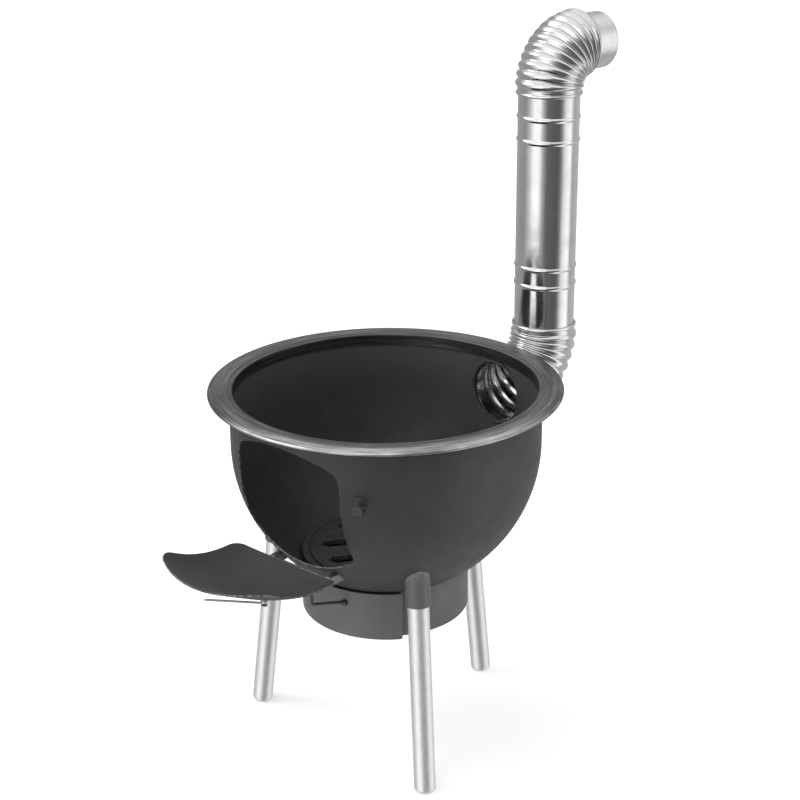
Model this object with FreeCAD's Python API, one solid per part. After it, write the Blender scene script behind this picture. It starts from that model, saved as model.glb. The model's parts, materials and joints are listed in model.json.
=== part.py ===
import FreeCAD, Part
import math
import os

# A portable solid-fuel stove: a deep round hearth bowl on three splayed legs, with a fuel door in front,
# an ash drawer in a drum below, a loose grate, and a chimney that leaves the back wall and turns upward.
# Millimetres. The origin is the centre of the rim, on the plane the pot rests on.
# +Z is up, the fuel door faces -Y and the chimney stands on the +Y side.
# Azimuths are measured from -Y towards +X. The door, the legs and the chimney are a few degrees out of line.

V = FreeCAD.Vector
UP = V(0, 0, 1)
RIGHT = V(1, 0, 0)
BACK = V(0, 1, 0)
BACK_AZIMUTH_DEG = 180.0

# Driving dimensions
RIM_DIAMETER = 340.0
POT_OPENING_DIAMETER = 292.6
BOWL_DIAMETER = 300.0
BOWL_WALL = 2.0
FLOOR_Z = -366.0
PIPE_DIAMETER = 61.0
PIPE_DISTANCE = 213.0
FLUE_AZIMUTH_DEG = 171.7
FLUE_Z = -45.5
DOOR_OPEN_DEG = 63.4

# Bowl: a straight band above a half ball that is cut away at the bottom
BOWL_R = BOWL_DIAMETER / 2
BOWL_INNER_R = BOWL_R - BOWL_WALL
BALL_Z = -55.0
BALL_CENTRE = V(0, 0, BALL_Z)
BOWL_HOLE_R = 76.0

# Rim: a flat land for the pot, a skirt inside the bowl and a small rolled bead at the outer edge
RIM_SHEET = 1.6
SKIRT_CLEARANCE = 0.1
SKIRT_DEPTH = 12.0
LIP_ROUND = 1.5
BEAD_R = 1.9
BEAD_CENTRE_R = RIM_DIAMETER / 2 - BEAD_R

# Fuel opening, as seen from the front
OPENING_HALF_WIDTH = 64.1
OPENING_TOP_Z = -17.3
OPENING_TOP_CORNER_Z = -34.4
OPENING_BOTTOM_Z = -145.2
OPENING_BOTTOM_CORNER_Z = -125.0
TOP_CORNER_ROUND = 19.0
BOTTOM_CORNER_ROUND = 15.0
PRISM_FRONT_Y = -210.0
PRISM_BACK_Y = -60.0
EDGE_TOLERANCE = 0.01

# Fuel door: a sheet that follows the bowl just outside it
DOOR_MARGIN = 2.0
DOOR_INNER_R = 150.6
DOOR_SHEET = 1.8
DOOR_OUTER_R = DOOR_INNER_R + DOOR_SHEET
DOOR_BLANK_HOLE_R = 45.0
DOOR_BLANK_TOP_Z = -12.6

# Door hinge: an axle along X below the opening
HINGE_Y = -123.0
HINGE_Z = -151.0
HINGE_PIN_R = 2.0
HINGE_CLEARANCE = 0.06
HINGE_BORE_R = HINGE_PIN_R + HINGE_CLEARANCE
KNUCKLE_R = 3.4
KNUCKLE_INNER_X = 2.0
KNUCKLE_OUTER_X = 32.0
STRAP_SHEET = 1.8
STRAP_TOP_Z = -112.0
STRAP_BLANK_TOP_Z = -54.0
STRAP_WEB_HEIGHT = 12.0
LUG_R = 4.5
LUG_INNER_X = 33.0
LUG_OUTER_X = 39.0
LUG_ROOT_Y = -90.0
PIN_HEAD_R = 3.6
PIN_HEAD_LENGTH = 1.6
PIN_END_PLAY = 0.3

# Door latch: a rod that turns on a rivet and drops behind a hook on the bowl
LATCH_X = 46.0
LATCH_Z = -60.0
LATCH_REST_TILT_DEG = 46.0
LATCH_LENGTH = 52.0
LATCH_ROD_R = 1.0
LATCH_EYE_R = 3.4
LATCH_EYE_THICKNESS = 2.2
LATCH_RIVET_R = 1.6
LATCH_BORE_R = LATCH_RIVET_R + HINGE_CLEARANCE
LATCH_HOLE_LENGTH = 6.0
LATCH_WASHER_R = 3.8
LATCH_WASHER_THICKNESS = 0.8
LATCH_PLAY = 0.15
LATCH_HEAD_R = 2.9
LATCH_HEAD_LENGTH = 2.0
LATCH_TAIL_R = 2.8
LATCH_TAIL_LENGTH = 1.2
LATCH_TAIL_GAP = 0.25
KEEPER_AZIMUTH_DEG = 32.7
KEEPER_WIDTH = 9.0
KEEPER_SHEET = 1.5
KEEPER_BASE_ABOVE = 9.0
KEEPER_LIP_ABOVE = 6.0
KEEPER_REACH = 16.0
KEEPER_ROOT_Y = -133.2
KEEPER_GAP = 0.2

# Legs: splayed tubes that screw on studs inside sockets below the bowl
LEG_AZIMUTHS = {"front_right": 55.7, "front_left": -64.3, "rear": 175.7}
LEG_R = 10.3
LEG_WALL = 1.5
FOOT_RADIUS = 138.8
LEG_TOP_RADIUS = 113.0
LEG_TOP_REFERENCE_Z = -150.0
LEG_TOP_Z = -165.5
FOOT_ROUND = 5.0
FOOT_OVERRUN = 0.7
FOOT_THICKNESS = 4.0
SOCKET_R = 12.0
SOCKET_BOTTOM_Z = -178.0
SOCKET_BLANK_TOP_Z = -127.0
SOCKET_CLEARANCE = 0.05
STUD_R = 4.0
STUD_BOTTOM_Z = -190.0
STUD_BLANK_TOP_Z = -139.0
BUSH_LENGTH = 20.0
BUSH_CLEARANCE = 0.05

# Grate: a cast disc that rests on the ball-shaped floor of the bowl
GRATE_R = 85.0
GRATE_THICKNESS = 6.0
GRATE_LIFT_GAP = 0.05
GRATE_TURN_DEG = 56.0
SLOT_WIDTH = 13.8
SLOT_PITCH = 36.5
SLOT_FIELD_R = 68.0
GRATE_RIB = 9.0
GROOVE_OUTER_R = 79.0
GROOVE_WIDTH = 2.5
GROOVE_DEPTH = 1.5

# Ash drum and drawer
DRUM_R = 80.0
DRUM_SHEET = 1.5
DRUM_BOTTOM_Z = -229.0
DRUM_TOP_REACH_Z = -165.0
DRUM_OPENING_HALF_WIDTH = 61.0
TRAY_HALF_WIDTH = 56.7
TRAY_BACK_Y = 50.0
TRAY_SHEET = 1.2
TRAY_TOP_Z = -190.0
TRAY_FLOAT = 0.1
RUNNER_GAP = 0.5
RUNNER_SHEET = 1.5
RUNNER_HEIGHT = 10.5
RUNNER_FOOT = 5.5
RUNNER_FRONT_Y = -45.0
RUNNER_BACK_Y = 46.0
FRONT_INNER_R = 83.5
FRONT_SHEET = 1.8
FRONT_BOTTOM_Z = -230.0
FRONT_TOP_Z = -181.5
FRONT_HALF_ANGLE_DEG = 51.0
HANDLE_X = 19.0
HANDLE_WIRE_R = 1.5
HANDLE_REACH = 42.8
HANDLE_ROOT_Z = -197.2
HANDLE_CORNER_Z = -178.8
HANDLE_END_Z = -164.0
HANDLE_BEND = 4.0
HANDLE_ROOT_Y = -75.0
HANDLE_NUT_R = 3.2
HANDLE_NUT_Y = -86.5
HANDLE_NUT_Z = -194.4

# Flue: collar in the back wall, corrugated elbow, straight pipe, corrugated elbow
PIPE_R = PIPE_DIAMETER / 2
PIPE_SHEET = 0.8
SLEEVE_CLEARANCE = 0.08
SLEEVE_BORE_R = PIPE_R + SLEEVE_CLEARANCE
COLLAR_R = 33.0
COLLAR_BORE_R = 31.3
COLLAR_INNER_Y = 145.0
COLLAR_OUTER_Y = 156.5
STUB_START_Y = 148.5
VALLEY_R = 31.2
RIDGE_HEIGHT = 2.8
STEPS_PER_RIDGE = 8
SAME_PLACE = 1e-6
LOWER_BEND_R = 55.0
LOWER_RIDGES = 10
UPPER_BEND_R = 38.0
UPPER_RIDGES = 11
UPPER_BEND_START_Z = 257.0
SLEEVE_LENGTH = 7.0
LIP_ROLL_R = 1.7
OUTLET_R = 27.7
OUTLET_LENGTH = 27.8
OUTLET_PLATE = 1.2
SEAT_GAP = 0.2
PIPE_BEAD_HEIGHTS = (59.0, 77.5, 206.0, 228.5)
PIPE_BEAD_R = 2.3
PIPE_BEAD_PROUD = 1.2


# General shapes

def box_between(low, high):
    """Box from its lowest to its highest corner."""
    return Part.makeBox(high.x - low.x, high.y - low.y, high.z - low.z, low)


def tube(outer_r, inner_r, start, direction, length):
    """Straight round tube."""
    outer = Part.makeCylinder(outer_r, length, start, direction)
    return outer.cut(Part.makeCylinder(inner_r, length, start, direction))


def ball(radius):
    """Solid ball round the centre of the bowl's lower half."""
    return Part.makeSphere(radius, BALL_CENTRE)


def direction_at(azimuth_deg):
    """Level unit vector at an azimuth measured from the front (-Y) towards +X."""
    azimuth = math.radians(azimuth_deg)
    return V(math.sin(azimuth), -math.cos(azimuth), 0)


def revolved(edges):
    """Solid from a closed profile in the XZ plane turned about the Z axis."""
    return Part.Face(Part.Wire(edges)).revolve(V(0, 0, 0), UP, 360)


def arc_point(radius, level):
    """Point on the ball of this radius, at a height above or below the ball's centre plane."""
    return V(math.sqrt(radius ** 2 - level ** 2), 0, BALL_Z + level)


def hole_level(radius, hole_r):
    """Height, from the ball's centre plane, of the ball's lower surface at a distance from the axis."""
    return -math.sqrt(radius ** 2 - hole_r ** 2)


def ball_arc(radius, hole_r):
    """Profile arc of the ball from its widest circle down to the hole in its floor."""
    widest = V(radius, 0, BALL_Z)
    lowest = arc_point(radius, hole_level(radius, hole_r))
    middle = arc_point(radius, hole_level(radius, hole_r) / 2)
    return Part.Arc(widest, middle, lowest).toShape()


def dished_sheet(inner_r, outer_r, top_z, hole_r):
    """Round sheet: a straight band above, a ball-shaped bowl below, open at the top and the bottom."""
    outer_low = arc_point(outer_r, hole_level(outer_r, hole_r))
    inner_low = arc_point(inner_r, hole_level(inner_r, hole_r))
    edges = [
        ball_arc(outer_r, hole_r),
        Part.makeLine(outer_low, inner_low),
        ball_arc(inner_r, hole_r),
        Part.makeLine(V(inner_r, 0, BALL_Z), V(inner_r, 0, top_z)),
        Part.makeLine(V(inner_r, 0, top_z), V(outer_r, 0, top_z)),
        Part.makeLine(V(outer_r, 0, top_z), V(outer_r, 0, BALL_Z)),
    ]
    return revolved(Part.sortEdges(edges)[0])


def is_corner_edge(edge, upper):
    """True for a front-to-back edge of the opening's prism in its upper or its lower half."""
    first, last = edge.Vertexes[0].Point, edge.Vertexes[-1].Point
    runs_back = abs(first.x - last.x) < EDGE_TOLERANCE and abs(first.z - last.z) < EDGE_TOLERANCE
    middle_z = (OPENING_TOP_Z + OPENING_BOTTOM_Z) / 2
    return runs_back and (first.z > middle_z) == upper


def opening_prism(margin):
    """Outline of the fuel opening, grown by a margin, run front to back through the front wall."""
    half = OPENING_HALF_WIDTH + margin
    top_corner = OPENING_TOP_CORNER_Z + margin
    bottom_corner = OPENING_BOTTOM_CORNER_Z - margin
    y = PRISM_BACK_Y
    top = Part.Arc(V(-half, y, top_corner), V(0, y, OPENING_TOP_Z + margin), V(half, y, top_corner))
    lowest = V(0, y, OPENING_BOTTOM_Z - margin)
    bottom = Part.Arc(V(half, y, bottom_corner), lowest, V(-half, y, bottom_corner))
    edges = [
        top.toShape(),
        Part.makeLine(V(half, y, top_corner), V(half, y, bottom_corner)),
        bottom.toShape(),
        Part.makeLine(V(-half, y, bottom_corner), V(-half, y, top_corner)),
    ]
    prism = Part.Face(Part.Wire(edges)).extrude(V(0, PRISM_FRONT_Y - PRISM_BACK_Y, 0))
    upper = [edge for edge in prism.Edges if is_corner_edge(edge, True)]
    prism = prism.makeFillet(TOP_CORNER_ROUND + margin, upper)
    lower = [edge for edge in prism.Edges if is_corner_edge(edge, False)]
    sharp = [edge for edge in lower if abs(edge.Vertexes[0].Point.z - bottom_corner) < EDGE_TOLERANCE]
    return prism.makeFillet(BOTTOM_CORNER_ROUND + margin, sharp)


def corner_arc(before, corner, after, bend_r):
    """Start, middle and end of the arc that rounds one corner of a line of points."""
    towards_before = (before - corner).normalize()
    towards_after = (after - corner).normalize()
    half_angle = towards_before.getAngle(towards_after) / 2
    back_off = bend_r / math.tan(half_angle)
    depth = bend_r / math.sin(half_angle) - bend_r
    inward = (towards_before + towards_after).normalize()
    return corner + towards_before * back_off, corner + inward * depth, corner + towards_after * back_off


def bent_wire(points, bend_r, wire_r):
    """Round wire along a line of points with its corners rounded."""
    edges = []
    start = points[0]
    for before, corner, after in zip(points, points[1:], points[2:]):
        first, middle, last = corner_arc(before, corner, after, bend_r)
        edges += [Part.makeLine(start, first), Part.Arc(first, middle, last).toShape()]
        start = last
    edges.append(Part.makeLine(start, points[-1]))
    section = Part.Wire(Part.makeCircle(wire_r, points[0], points[1] - points[0]))
    return Part.Wire(edges).makePipeShell([section], True, False)


def opened(shape):
    """The same shape swung with the door from closed to fully open."""
    turned = shape.copy()
    turned.rotate(V(0, HINGE_Y, HINGE_Z), RIGHT, DOOR_OPEN_DEG)
    return turned


def turned_to_flue(shape):
    """The same shape, drawn with the chimney straight behind (+Y), turned to the chimney's azimuth."""
    turned = shape.copy()
    turned.rotate(V(0, 0, 0), UP, FLUE_AZIMUTH_DEG - BACK_AZIMUTH_DEG)
    return turned


def mirrored(shape):
    """The shape's twin on the other side of the stove's middle plane."""
    return shape.mirror(V(0, 0, 0), RIGHT)


# Hearth

def make_bowl():
    """Bowl sheet with the fuel opening in front and the flue hole at the back."""
    sheet = dished_sheet(BOWL_INNER_R, BOWL_R, -RIM_SHEET, BOWL_HOLE_R)
    flue_hole = Part.makeCylinder(COLLAR_R, COLLAR_OUTER_Y, V(0, 0, FLUE_Z), BACK)
    return sheet.cut(opening_prism(0)).cut(turned_to_flue(flue_hole))


def make_rim_ring():
    """Pressed ring: skirt, rounded lip, flat land and rolled bead."""
    lip_r = POT_OPENING_DIAMETER / 2
    skirt_r = BOWL_INNER_R - SKIRT_CLEARANCE
    quarter = LIP_ROUND * (1 - math.sqrt(0.5))
    lip = Part.Arc(V(lip_r, 0, -LIP_ROUND), V(lip_r + quarter, 0, -quarter), V(lip_r + LIP_ROUND, 0, 0))
    corners = [
        V(lip_r + LIP_ROUND, 0, 0),
        V(BEAD_CENTRE_R, 0, 0),
        V(BEAD_CENTRE_R, 0, -RIM_SHEET),
        V(skirt_r, 0, -RIM_SHEET),
        V(skirt_r, 0, -SKIRT_DEPTH),
        V(lip_r, 0, -SKIRT_DEPTH),
        V(lip_r, 0, -LIP_ROUND),
    ]
    edges = [lip.toShape()] + [Part.makeLine(a, b) for a, b in zip(corners, corners[1:])]
    bead = Part.makeTorus(BEAD_CENTRE_R, BEAD_R, V(0, 0, -BEAD_R))
    return revolved(edges).fuse(bead)


def grate_slot(offset, side):
    """One pointed slot on one side of the grate's middle rib, at an offset across the disc."""
    half_width = SLOT_WIDTH / 2
    far = math.sqrt(SLOT_FIELD_R ** 2 - offset ** 2)
    near = GRATE_RIB / 2
    outline = [
        V(side * near, offset - half_width, 0),
        V(side * (far - half_width), offset - half_width, 0),
        V(side * far, offset, 0),
        V(side * (far - half_width), offset + half_width, 0),
        V(side * near, offset + half_width, 0),
    ]
    return Part.Face(Part.makePolygon(outline + outline[:1])).extrude(V(0, 0, GRATE_THICKNESS))


def make_grate():
    """Cast disc with rows of pointed slots and a shallow groove round its edge."""
    disc = Part.makeCylinder(GRATE_R, GRATE_THICKNESS)
    rows = [row * SLOT_PITCH for row in (-1.5, -0.5, 0.5, 1.5)]
    slots = [grate_slot(offset, side) for offset in rows for side in (-1, 1)]
    groove_z = GRATE_THICKNESS - GROOVE_DEPTH
    groove = tube(GROOVE_OUTER_R, GROOVE_OUTER_R - GROOVE_WIDTH, V(0, 0, groove_z), UP, GROOVE_DEPTH)
    grate = disc.cut(slots + [groove])
    grate.rotate(V(0, 0, 0), UP, GRATE_TURN_DEG)
    grate.translate(V(0, 0, BALL_Z + hole_level(BOWL_INNER_R, GRATE_R) + GRATE_LIFT_GAP))
    return grate


# Fuel door, its hinge and its latch

def make_fuel_door():
    """Door sheet, with the hole for the latch rivet near its edge."""
    sheet = dished_sheet(DOOR_INNER_R, DOOR_OUTER_R, DOOR_BLANK_TOP_Z, DOOR_BLANK_HOLE_R)
    door = sheet.common(opening_prism(DOOR_MARGIN))
    return opened(door.cut(latch_cylinder(LATCH_BORE_R, BOWL_INNER_R, LATCH_HOLE_LENGTH)))


def hinge_strap():
    """Knuckle on the hinge axle with a strap that lies on the outside of the door, on the +X side."""
    width = KNUCKLE_OUTER_X - KNUCKLE_INNER_X
    start = V(KNUCKLE_INNER_X, HINGE_Y, HINGE_Z)
    knuckle = Part.makeCylinder(KNUCKLE_R, width, start, RIGHT)
    web_low = V(KNUCKLE_INNER_X, HINGE_Y - KNUCKLE_R, HINGE_Z)
    web_high = V(KNUCKLE_OUTER_X, HINGE_Y, HINGE_Z + STRAP_WEB_HEIGHT)
    web = box_between(web_low, web_high).cut(ball(DOOR_OUTER_R))
    sheet = dished_sheet(DOOR_OUTER_R, DOOR_OUTER_R + STRAP_SHEET, STRAP_BLANK_TOP_Z, DOOR_BLANK_HOLE_R)
    window_low = V(KNUCKLE_INNER_X, PRISM_FRONT_Y, HINGE_Z + KNUCKLE_R)
    window_high = V(KNUCKLE_OUTER_X, PRISM_BACK_Y, STRAP_TOP_Z)
    strap = sheet.common(box_between(window_low, window_high))
    bore = Part.makeCylinder(HINGE_BORE_R, width, start, RIGHT)
    return knuckle.fuse([web, strap]).cut(bore)


def make_hinge_straps():
    """The door's two hinge straps."""
    right = hinge_strap()
    return Part.makeCompound([opened(right), opened(mirrored(right))])


def hinge_lug():
    """Eye that carries the end of the axle, welded to the bowl, on the +X side."""
    width = LUG_OUTER_X - LUG_INNER_X
    start = V(LUG_INNER_X, HINGE_Y, HINGE_Z)
    eye = Part.makeCylinder(LUG_R, width, start, RIGHT)
    web = box_between(V(LUG_INNER_X, HINGE_Y, HINGE_Z - LUG_R), V(LUG_OUTER_X, LUG_ROOT_Y, HINGE_Z + LUG_R))
    bore = Part.makeCylinder(HINGE_BORE_R, width, start, RIGHT)
    return eye.fuse(web).cut(ball(BOWL_R)).cut(bore)


def make_hinge_lugs():
    """The bowl's two hinge lugs."""
    right = hinge_lug()
    return Part.makeCompound([right, mirrored(right)])


def make_hinge_pin():
    """Axle with a head at each end."""
    half = LUG_OUTER_X + PIN_END_PLAY
    pin = Part.makeCylinder(HINGE_PIN_R, 2 * half, V(-half, HINGE_Y, HINGE_Z), RIGHT)
    right = Part.makeCylinder(PIN_HEAD_R, PIN_HEAD_LENGTH, V(half, HINGE_Y, HINGE_Z), RIGHT)
    return pin.fuse([right, mirrored(right)])


def latch_normal():
    """Outward normal of the closed door at the latch rivet."""
    return direction_at(math.degrees(math.asin(LATCH_X / DOOR_OUTER_R)))


def latch_point(radius):
    """Point on the latch rivet's axis at a distance from the stove's upright axis, door closed."""
    return latch_normal() * radius + V(0, 0, LATCH_Z)


def latch_cylinder(radius, start_r, length):
    """Cylinder on the latch rivet's axis, door closed."""
    return Part.makeCylinder(radius, length, latch_point(start_r), latch_normal())


def latch_seat_r():
    """Distance from the upright axis at which the flat face of the latch washer clears the door."""
    return DOOR_OUTER_R + LATCH_PLAY


def make_latch_washer():
    """Washer between the door and the latch."""
    ring = latch_cylinder(LATCH_WASHER_R, latch_seat_r(), LATCH_WASHER_THICKNESS)
    return opened(ring.cut(latch_cylinder(LATCH_BORE_R, latch_seat_r(), LATCH_WASHER_THICKNESS)))


def latch_eye_r():
    """Distance from the upright axis of the latch eye's inner face."""
    return latch_seat_r() + LATCH_WASHER_THICKNESS + LATCH_PLAY


def make_latch_rivet():
    """Rivet that the latch turns on: outer head, shank through the door and a low inner head."""
    shank_start = DOOR_INNER_R - LATCH_TAIL_LENGTH - LATCH_TAIL_GAP
    head_start = latch_eye_r() + LATCH_EYE_THICKNESS + LATCH_PLAY
    shank = latch_cylinder(LATCH_RIVET_R, shank_start, head_start - shank_start)
    head = latch_cylinder(LATCH_HEAD_R, head_start, LATCH_HEAD_LENGTH)
    head = head.makeFillet(LATCH_HEAD_LENGTH / 2, [head.Edges[0]])
    tail = latch_cylinder(LATCH_TAIL_R, shank_start, LATCH_TAIL_LENGTH)
    return opened(shank.fuse([head, tail]))


def make_latch_lever():
    """Eye and straight rod with a ball end, pointing up the door."""
    normal = latch_normal()
    eye = latch_cylinder(LATCH_EYE_R, latch_eye_r(), LATCH_EYE_THICKNESS)
    pivot = latch_point(latch_eye_r() + LATCH_EYE_THICKNESS / 2)
    rod = Part.makeCylinder(LATCH_ROD_R, LATCH_LENGTH, pivot, UP)
    tip = Part.makeSphere(LATCH_ROD_R, pivot + UP * LATCH_LENGTH)
    lever = eye.fuse([rod, tip]).cut(latch_cylinder(LATCH_BORE_R, latch_eye_r(), LATCH_EYE_THICKNESS))
    lever.rotate(pivot, normal, LATCH_REST_TILT_DEG)
    return opened(lever)


def make_latch_keeper():
    """Hook on the bowl, open upward, that the latch rod drops into when the door is shut."""
    arm_top = LATCH_Z - LATCH_ROD_R - KEEPER_GAP
    arm_low = arm_top - KEEPER_SHEET
    half = KEEPER_WIDTH / 2
    reach_y = -(BOWL_R + KEEPER_REACH)
    base_low = V(-half, -(BOWL_R + KEEPER_SHEET), arm_low)
    base = box_between(base_low, V(half, KEEPER_ROOT_Y, LATCH_Z + KEEPER_BASE_ABOVE))
    arm = box_between(V(-half, reach_y, arm_low), V(half, KEEPER_ROOT_Y, arm_top))
    lip_high = V(half, reach_y + KEEPER_SHEET, LATCH_Z + KEEPER_LIP_ABOVE)
    lip = box_between(V(-half, reach_y, arm_low), lip_high)
    hook = base.fuse([arm, lip])
    hook.rotate(V(0, 0, 0), UP, KEEPER_AZIMUTH_DEG)
    bowl_form = ball(BOWL_R).fuse(Part.makeCylinder(BOWL_R, -BALL_Z, BALL_CENTRE))
    return hook.cut(bowl_form)


# Legs

def leg_slope():
    """How far a leg's axis moves out for each millimetre down."""
    return (FOOT_RADIUS - LEG_TOP_RADIUS) / (LEG_TOP_REFERENCE_Z - FLOOR_Z)


def leg_point(azimuth_deg, z):
    """Point on a leg's axis at a height."""
    radius = FOOT_RADIUS - leg_slope() * (z - FLOOR_Z)
    return direction_at(azimuth_deg) * radius + V(0, 0, z)


def leg_axis(azimuth_deg):
    """Unit vector up a leg's axis."""
    axis = leg_point(azimuth_deg, 0) - leg_point(azimuth_deg, FLOOR_Z)
    return axis.normalize()


def leg_cylinder(radius, azimuth_deg, low_z, high_z):
    """Cylinder on a leg's axis between two heights."""
    low = leg_point(azimuth_deg, low_z)
    length = (leg_point(azimuth_deg, high_z) - low).Length
    return Part.makeCylinder(radius, length, low, leg_axis(azimuth_deg))


def make_leg(azimuth_deg):
    """Tube with a closed, rounded foot that is worn flat where it stands on the floor."""
    outside = leg_cylinder(LEG_R, azimuth_deg, FLOOR_Z - FOOT_OVERRUN, LEG_TOP_Z)
    foot_z = leg_point(azimuth_deg, FLOOR_Z - FOOT_OVERRUN).z
    foot_edges = [edge for edge in outside.Edges if abs(edge.CenterOfMass.z - foot_z) < EDGE_TOLERANCE]
    outside = outside.makeFillet(FOOT_ROUND, foot_edges)
    inside = leg_cylinder(LEG_R - LEG_WALL, azimuth_deg, FLOOR_Z + FOOT_THICKNESS, LEG_TOP_Z + LEG_WALL)
    reach = 2 * FOOT_RADIUS
    below_floor = box_between(V(-reach, -reach, FLOOR_Z - LEG_R), V(reach, reach, FLOOR_Z))
    return outside.cut([inside, below_floor])


def make_leg_socket(azimuth_deg):
    """Sleeve below the bowl, cut to the bowl's shape at its top."""
    sleeve = leg_cylinder(SOCKET_R, azimuth_deg, SOCKET_BOTTOM_Z, SOCKET_BLANK_TOP_Z)
    bore = leg_cylinder(LEG_R + SOCKET_CLEARANCE, azimuth_deg, SOCKET_BOTTOM_Z, SOCKET_BLANK_TOP_Z)
    return sleeve.cut([bore, ball(BOWL_R)])


def make_leg_studs():
    """Threaded studs, drawn plain, that hang from the bowl inside the sockets."""
    studs = []
    for azimuth in LEG_AZIMUTHS.values():
        blank = leg_cylinder(STUD_R, azimuth, STUD_BOTTOM_Z, STUD_BLANK_TOP_Z)
        studs.append(blank.cut(ball(BOWL_R)))
    return Part.makeCompound(studs)


def leg_bush(azimuth_deg):
    """Threaded bush pressed in the top of one leg tube."""
    outer_r = LEG_R - LEG_WALL - BUSH_CLEARANCE
    body = leg_cylinder(outer_r, azimuth_deg, LEG_TOP_Z - BUSH_LENGTH, LEG_TOP_Z)
    return body.cut(leg_cylinder(STUD_R + BUSH_CLEARANCE, azimuth_deg, LEG_TOP_Z - BUSH_LENGTH, LEG_TOP_Z))


def make_leg_bushes():
    """The three bushes."""
    return Part.makeCompound([leg_bush(azimuth) for azimuth in LEG_AZIMUTHS.values()])


# Ash drum and drawer

def make_ash_drum():
    """Drum wall, cut to the bowl's shape at its top and open in front for the drawer."""
    base_top = DRUM_BOTTOM_Z + DRUM_SHEET
    wall = tube(DRUM_R, DRUM_R - DRUM_SHEET, V(0, 0, base_top), UP, DRUM_TOP_REACH_Z - base_top)
    doorway_low = V(-DRUM_OPENING_HALF_WIDTH, -2 * DRUM_R, DRUM_BOTTOM_Z)
    doorway = box_between(doorway_low, V(DRUM_OPENING_HALF_WIDTH, 0, DRUM_TOP_REACH_Z))
    return wall.cut([doorway, ball(BOWL_R)])


def make_ash_drum_base():
    """Flat floor of the drum."""
    return Part.makeCylinder(DRUM_R, DRUM_SHEET, V(0, 0, DRUM_BOTTOM_Z))


def drawer_runner():
    """Angle that guides the drawer's +X side."""
    x = TRAY_HALF_WIDTH + RUNNER_GAP
    floor = DRUM_BOTTOM_Z + DRUM_SHEET
    guide_high = V(x + RUNNER_SHEET, RUNNER_BACK_Y, floor + RUNNER_HEIGHT)
    guide = box_between(V(x, RUNNER_FRONT_Y, floor), guide_high)
    foot = box_between(V(x, RUNNER_FRONT_Y, floor), V(x + RUNNER_FOOT, RUNNER_BACK_Y, floor + RUNNER_SHEET))
    return guide.fuse(foot)


def make_drawer_runners():
    """Both runners."""
    right = drawer_runner()
    return Part.makeCompound([right, mirrored(right)])


def tray_form(inset, low_z, high_z):
    """Block with straight sides and back and a front that follows the drawer's curved front plate."""
    half = TRAY_HALF_WIDTH - inset
    block = box_between(V(-half, -2 * DRUM_R, low_z), V(half, TRAY_BACK_Y - inset, high_z))
    round_front = Part.makeCylinder(FRONT_INNER_R - inset, high_z - low_z, V(0, 0, low_z))
    return block.common(round_front)


def make_ash_tray():
    """Open tray that catches the ash."""
    low_z = DRUM_BOTTOM_Z + DRUM_SHEET + TRAY_FLOAT
    outside = tray_form(0, low_z, TRAY_TOP_Z)
    return outside.cut(tray_form(TRAY_SHEET, low_z + TRAY_SHEET, TRAY_TOP_Z + TRAY_SHEET))


def make_drawer_front():
    """Curved plate that covers the drum's doorway."""
    outer_r = FRONT_INNER_R + FRONT_SHEET
    height = FRONT_TOP_Z - FRONT_BOTTOM_Z
    sweep = 2 * FRONT_HALF_ANGLE_DEG
    low = V(0, 0, FRONT_BOTTOM_Z)
    plate = Part.makeCylinder(outer_r, height, low, UP, sweep)
    plate = plate.cut(Part.makeCylinder(FRONT_INNER_R, height, low, UP, sweep))
    plate.rotate(V(0, 0, 0), UP, -90 - FRONT_HALF_ANGLE_DEG)
    return plate


def make_drawer_handle():
    """Wire pull: it rises outwards from a nut on the plate and ends in a short upright grip."""
    tip_y = -(FRONT_INNER_R + FRONT_SHEET + HANDLE_REACH)
    root = V(HANDLE_X, HANDLE_ROOT_Y, HANDLE_ROOT_Z)
    corner = V(HANDLE_X, tip_y, HANDLE_CORNER_Z)
    wire = bent_wire([root, corner, V(HANDLE_X, tip_y, HANDLE_END_Z)], HANDLE_BEND, HANDLE_WIRE_R)
    nut_start = V(HANDLE_X, HANDLE_ROOT_Y, HANDLE_NUT_Z)
    nut = Part.makeCylinder(HANDLE_NUT_R, HANDLE_ROOT_Y - HANDLE_NUT_Y, nut_start, -BACK)
    plate_form = Part.makeCylinder(FRONT_INNER_R + FRONT_SHEET, DRUM_R, V(0, 0, DRUM_BOTTOM_Z))
    return wire.fuse(nut).cut(plate_form)


# Chimney, drawn with its pipe straight behind the bowl and turned to its azimuth when finished

def make_flue_collar():
    """Short tube through the bowl's back wall."""
    length = COLLAR_OUTER_Y - COLLAR_INNER_Y
    return turned_to_flue(tube(COLLAR_R, COLLAR_BORE_R, V(0, COLLAR_INNER_Y, FLUE_Z), BACK, length))


def ring(row):
    """Circle of a tube's wall in the middle plane. A row is (y, z, rise from +Y in degrees, radius)."""
    y, z, rise_deg, radius = row
    edge = Part.makeCircle(radius)
    edge.Placement = FreeCAD.Placement(V(0, y, z), FreeCAD.Rotation(RIGHT, rise_deg - 90))
    return edge


def wall_face(first, second):
    """Face between two neighbouring rings: a flat ring, a cylinder or a ruled face."""
    distance = math.hypot(second[0] - first[0], second[1] - first[1])
    if distance < SAME_PLACE:
        wide, narrow = sorted((first, second), key=lambda row: -row[3])
        return Part.Face([Part.Wire(ring(wide)), Part.Wire(ring(narrow))])
    if first[2:] == second[2:]:
        cylinder = Part.makeCylinder(first[3], distance)
        cylinder.Placement = ring(first).Placement
        return cylinder.Faces[0]
    return Part.makeRuledSurface(ring(first), ring(second))


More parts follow.
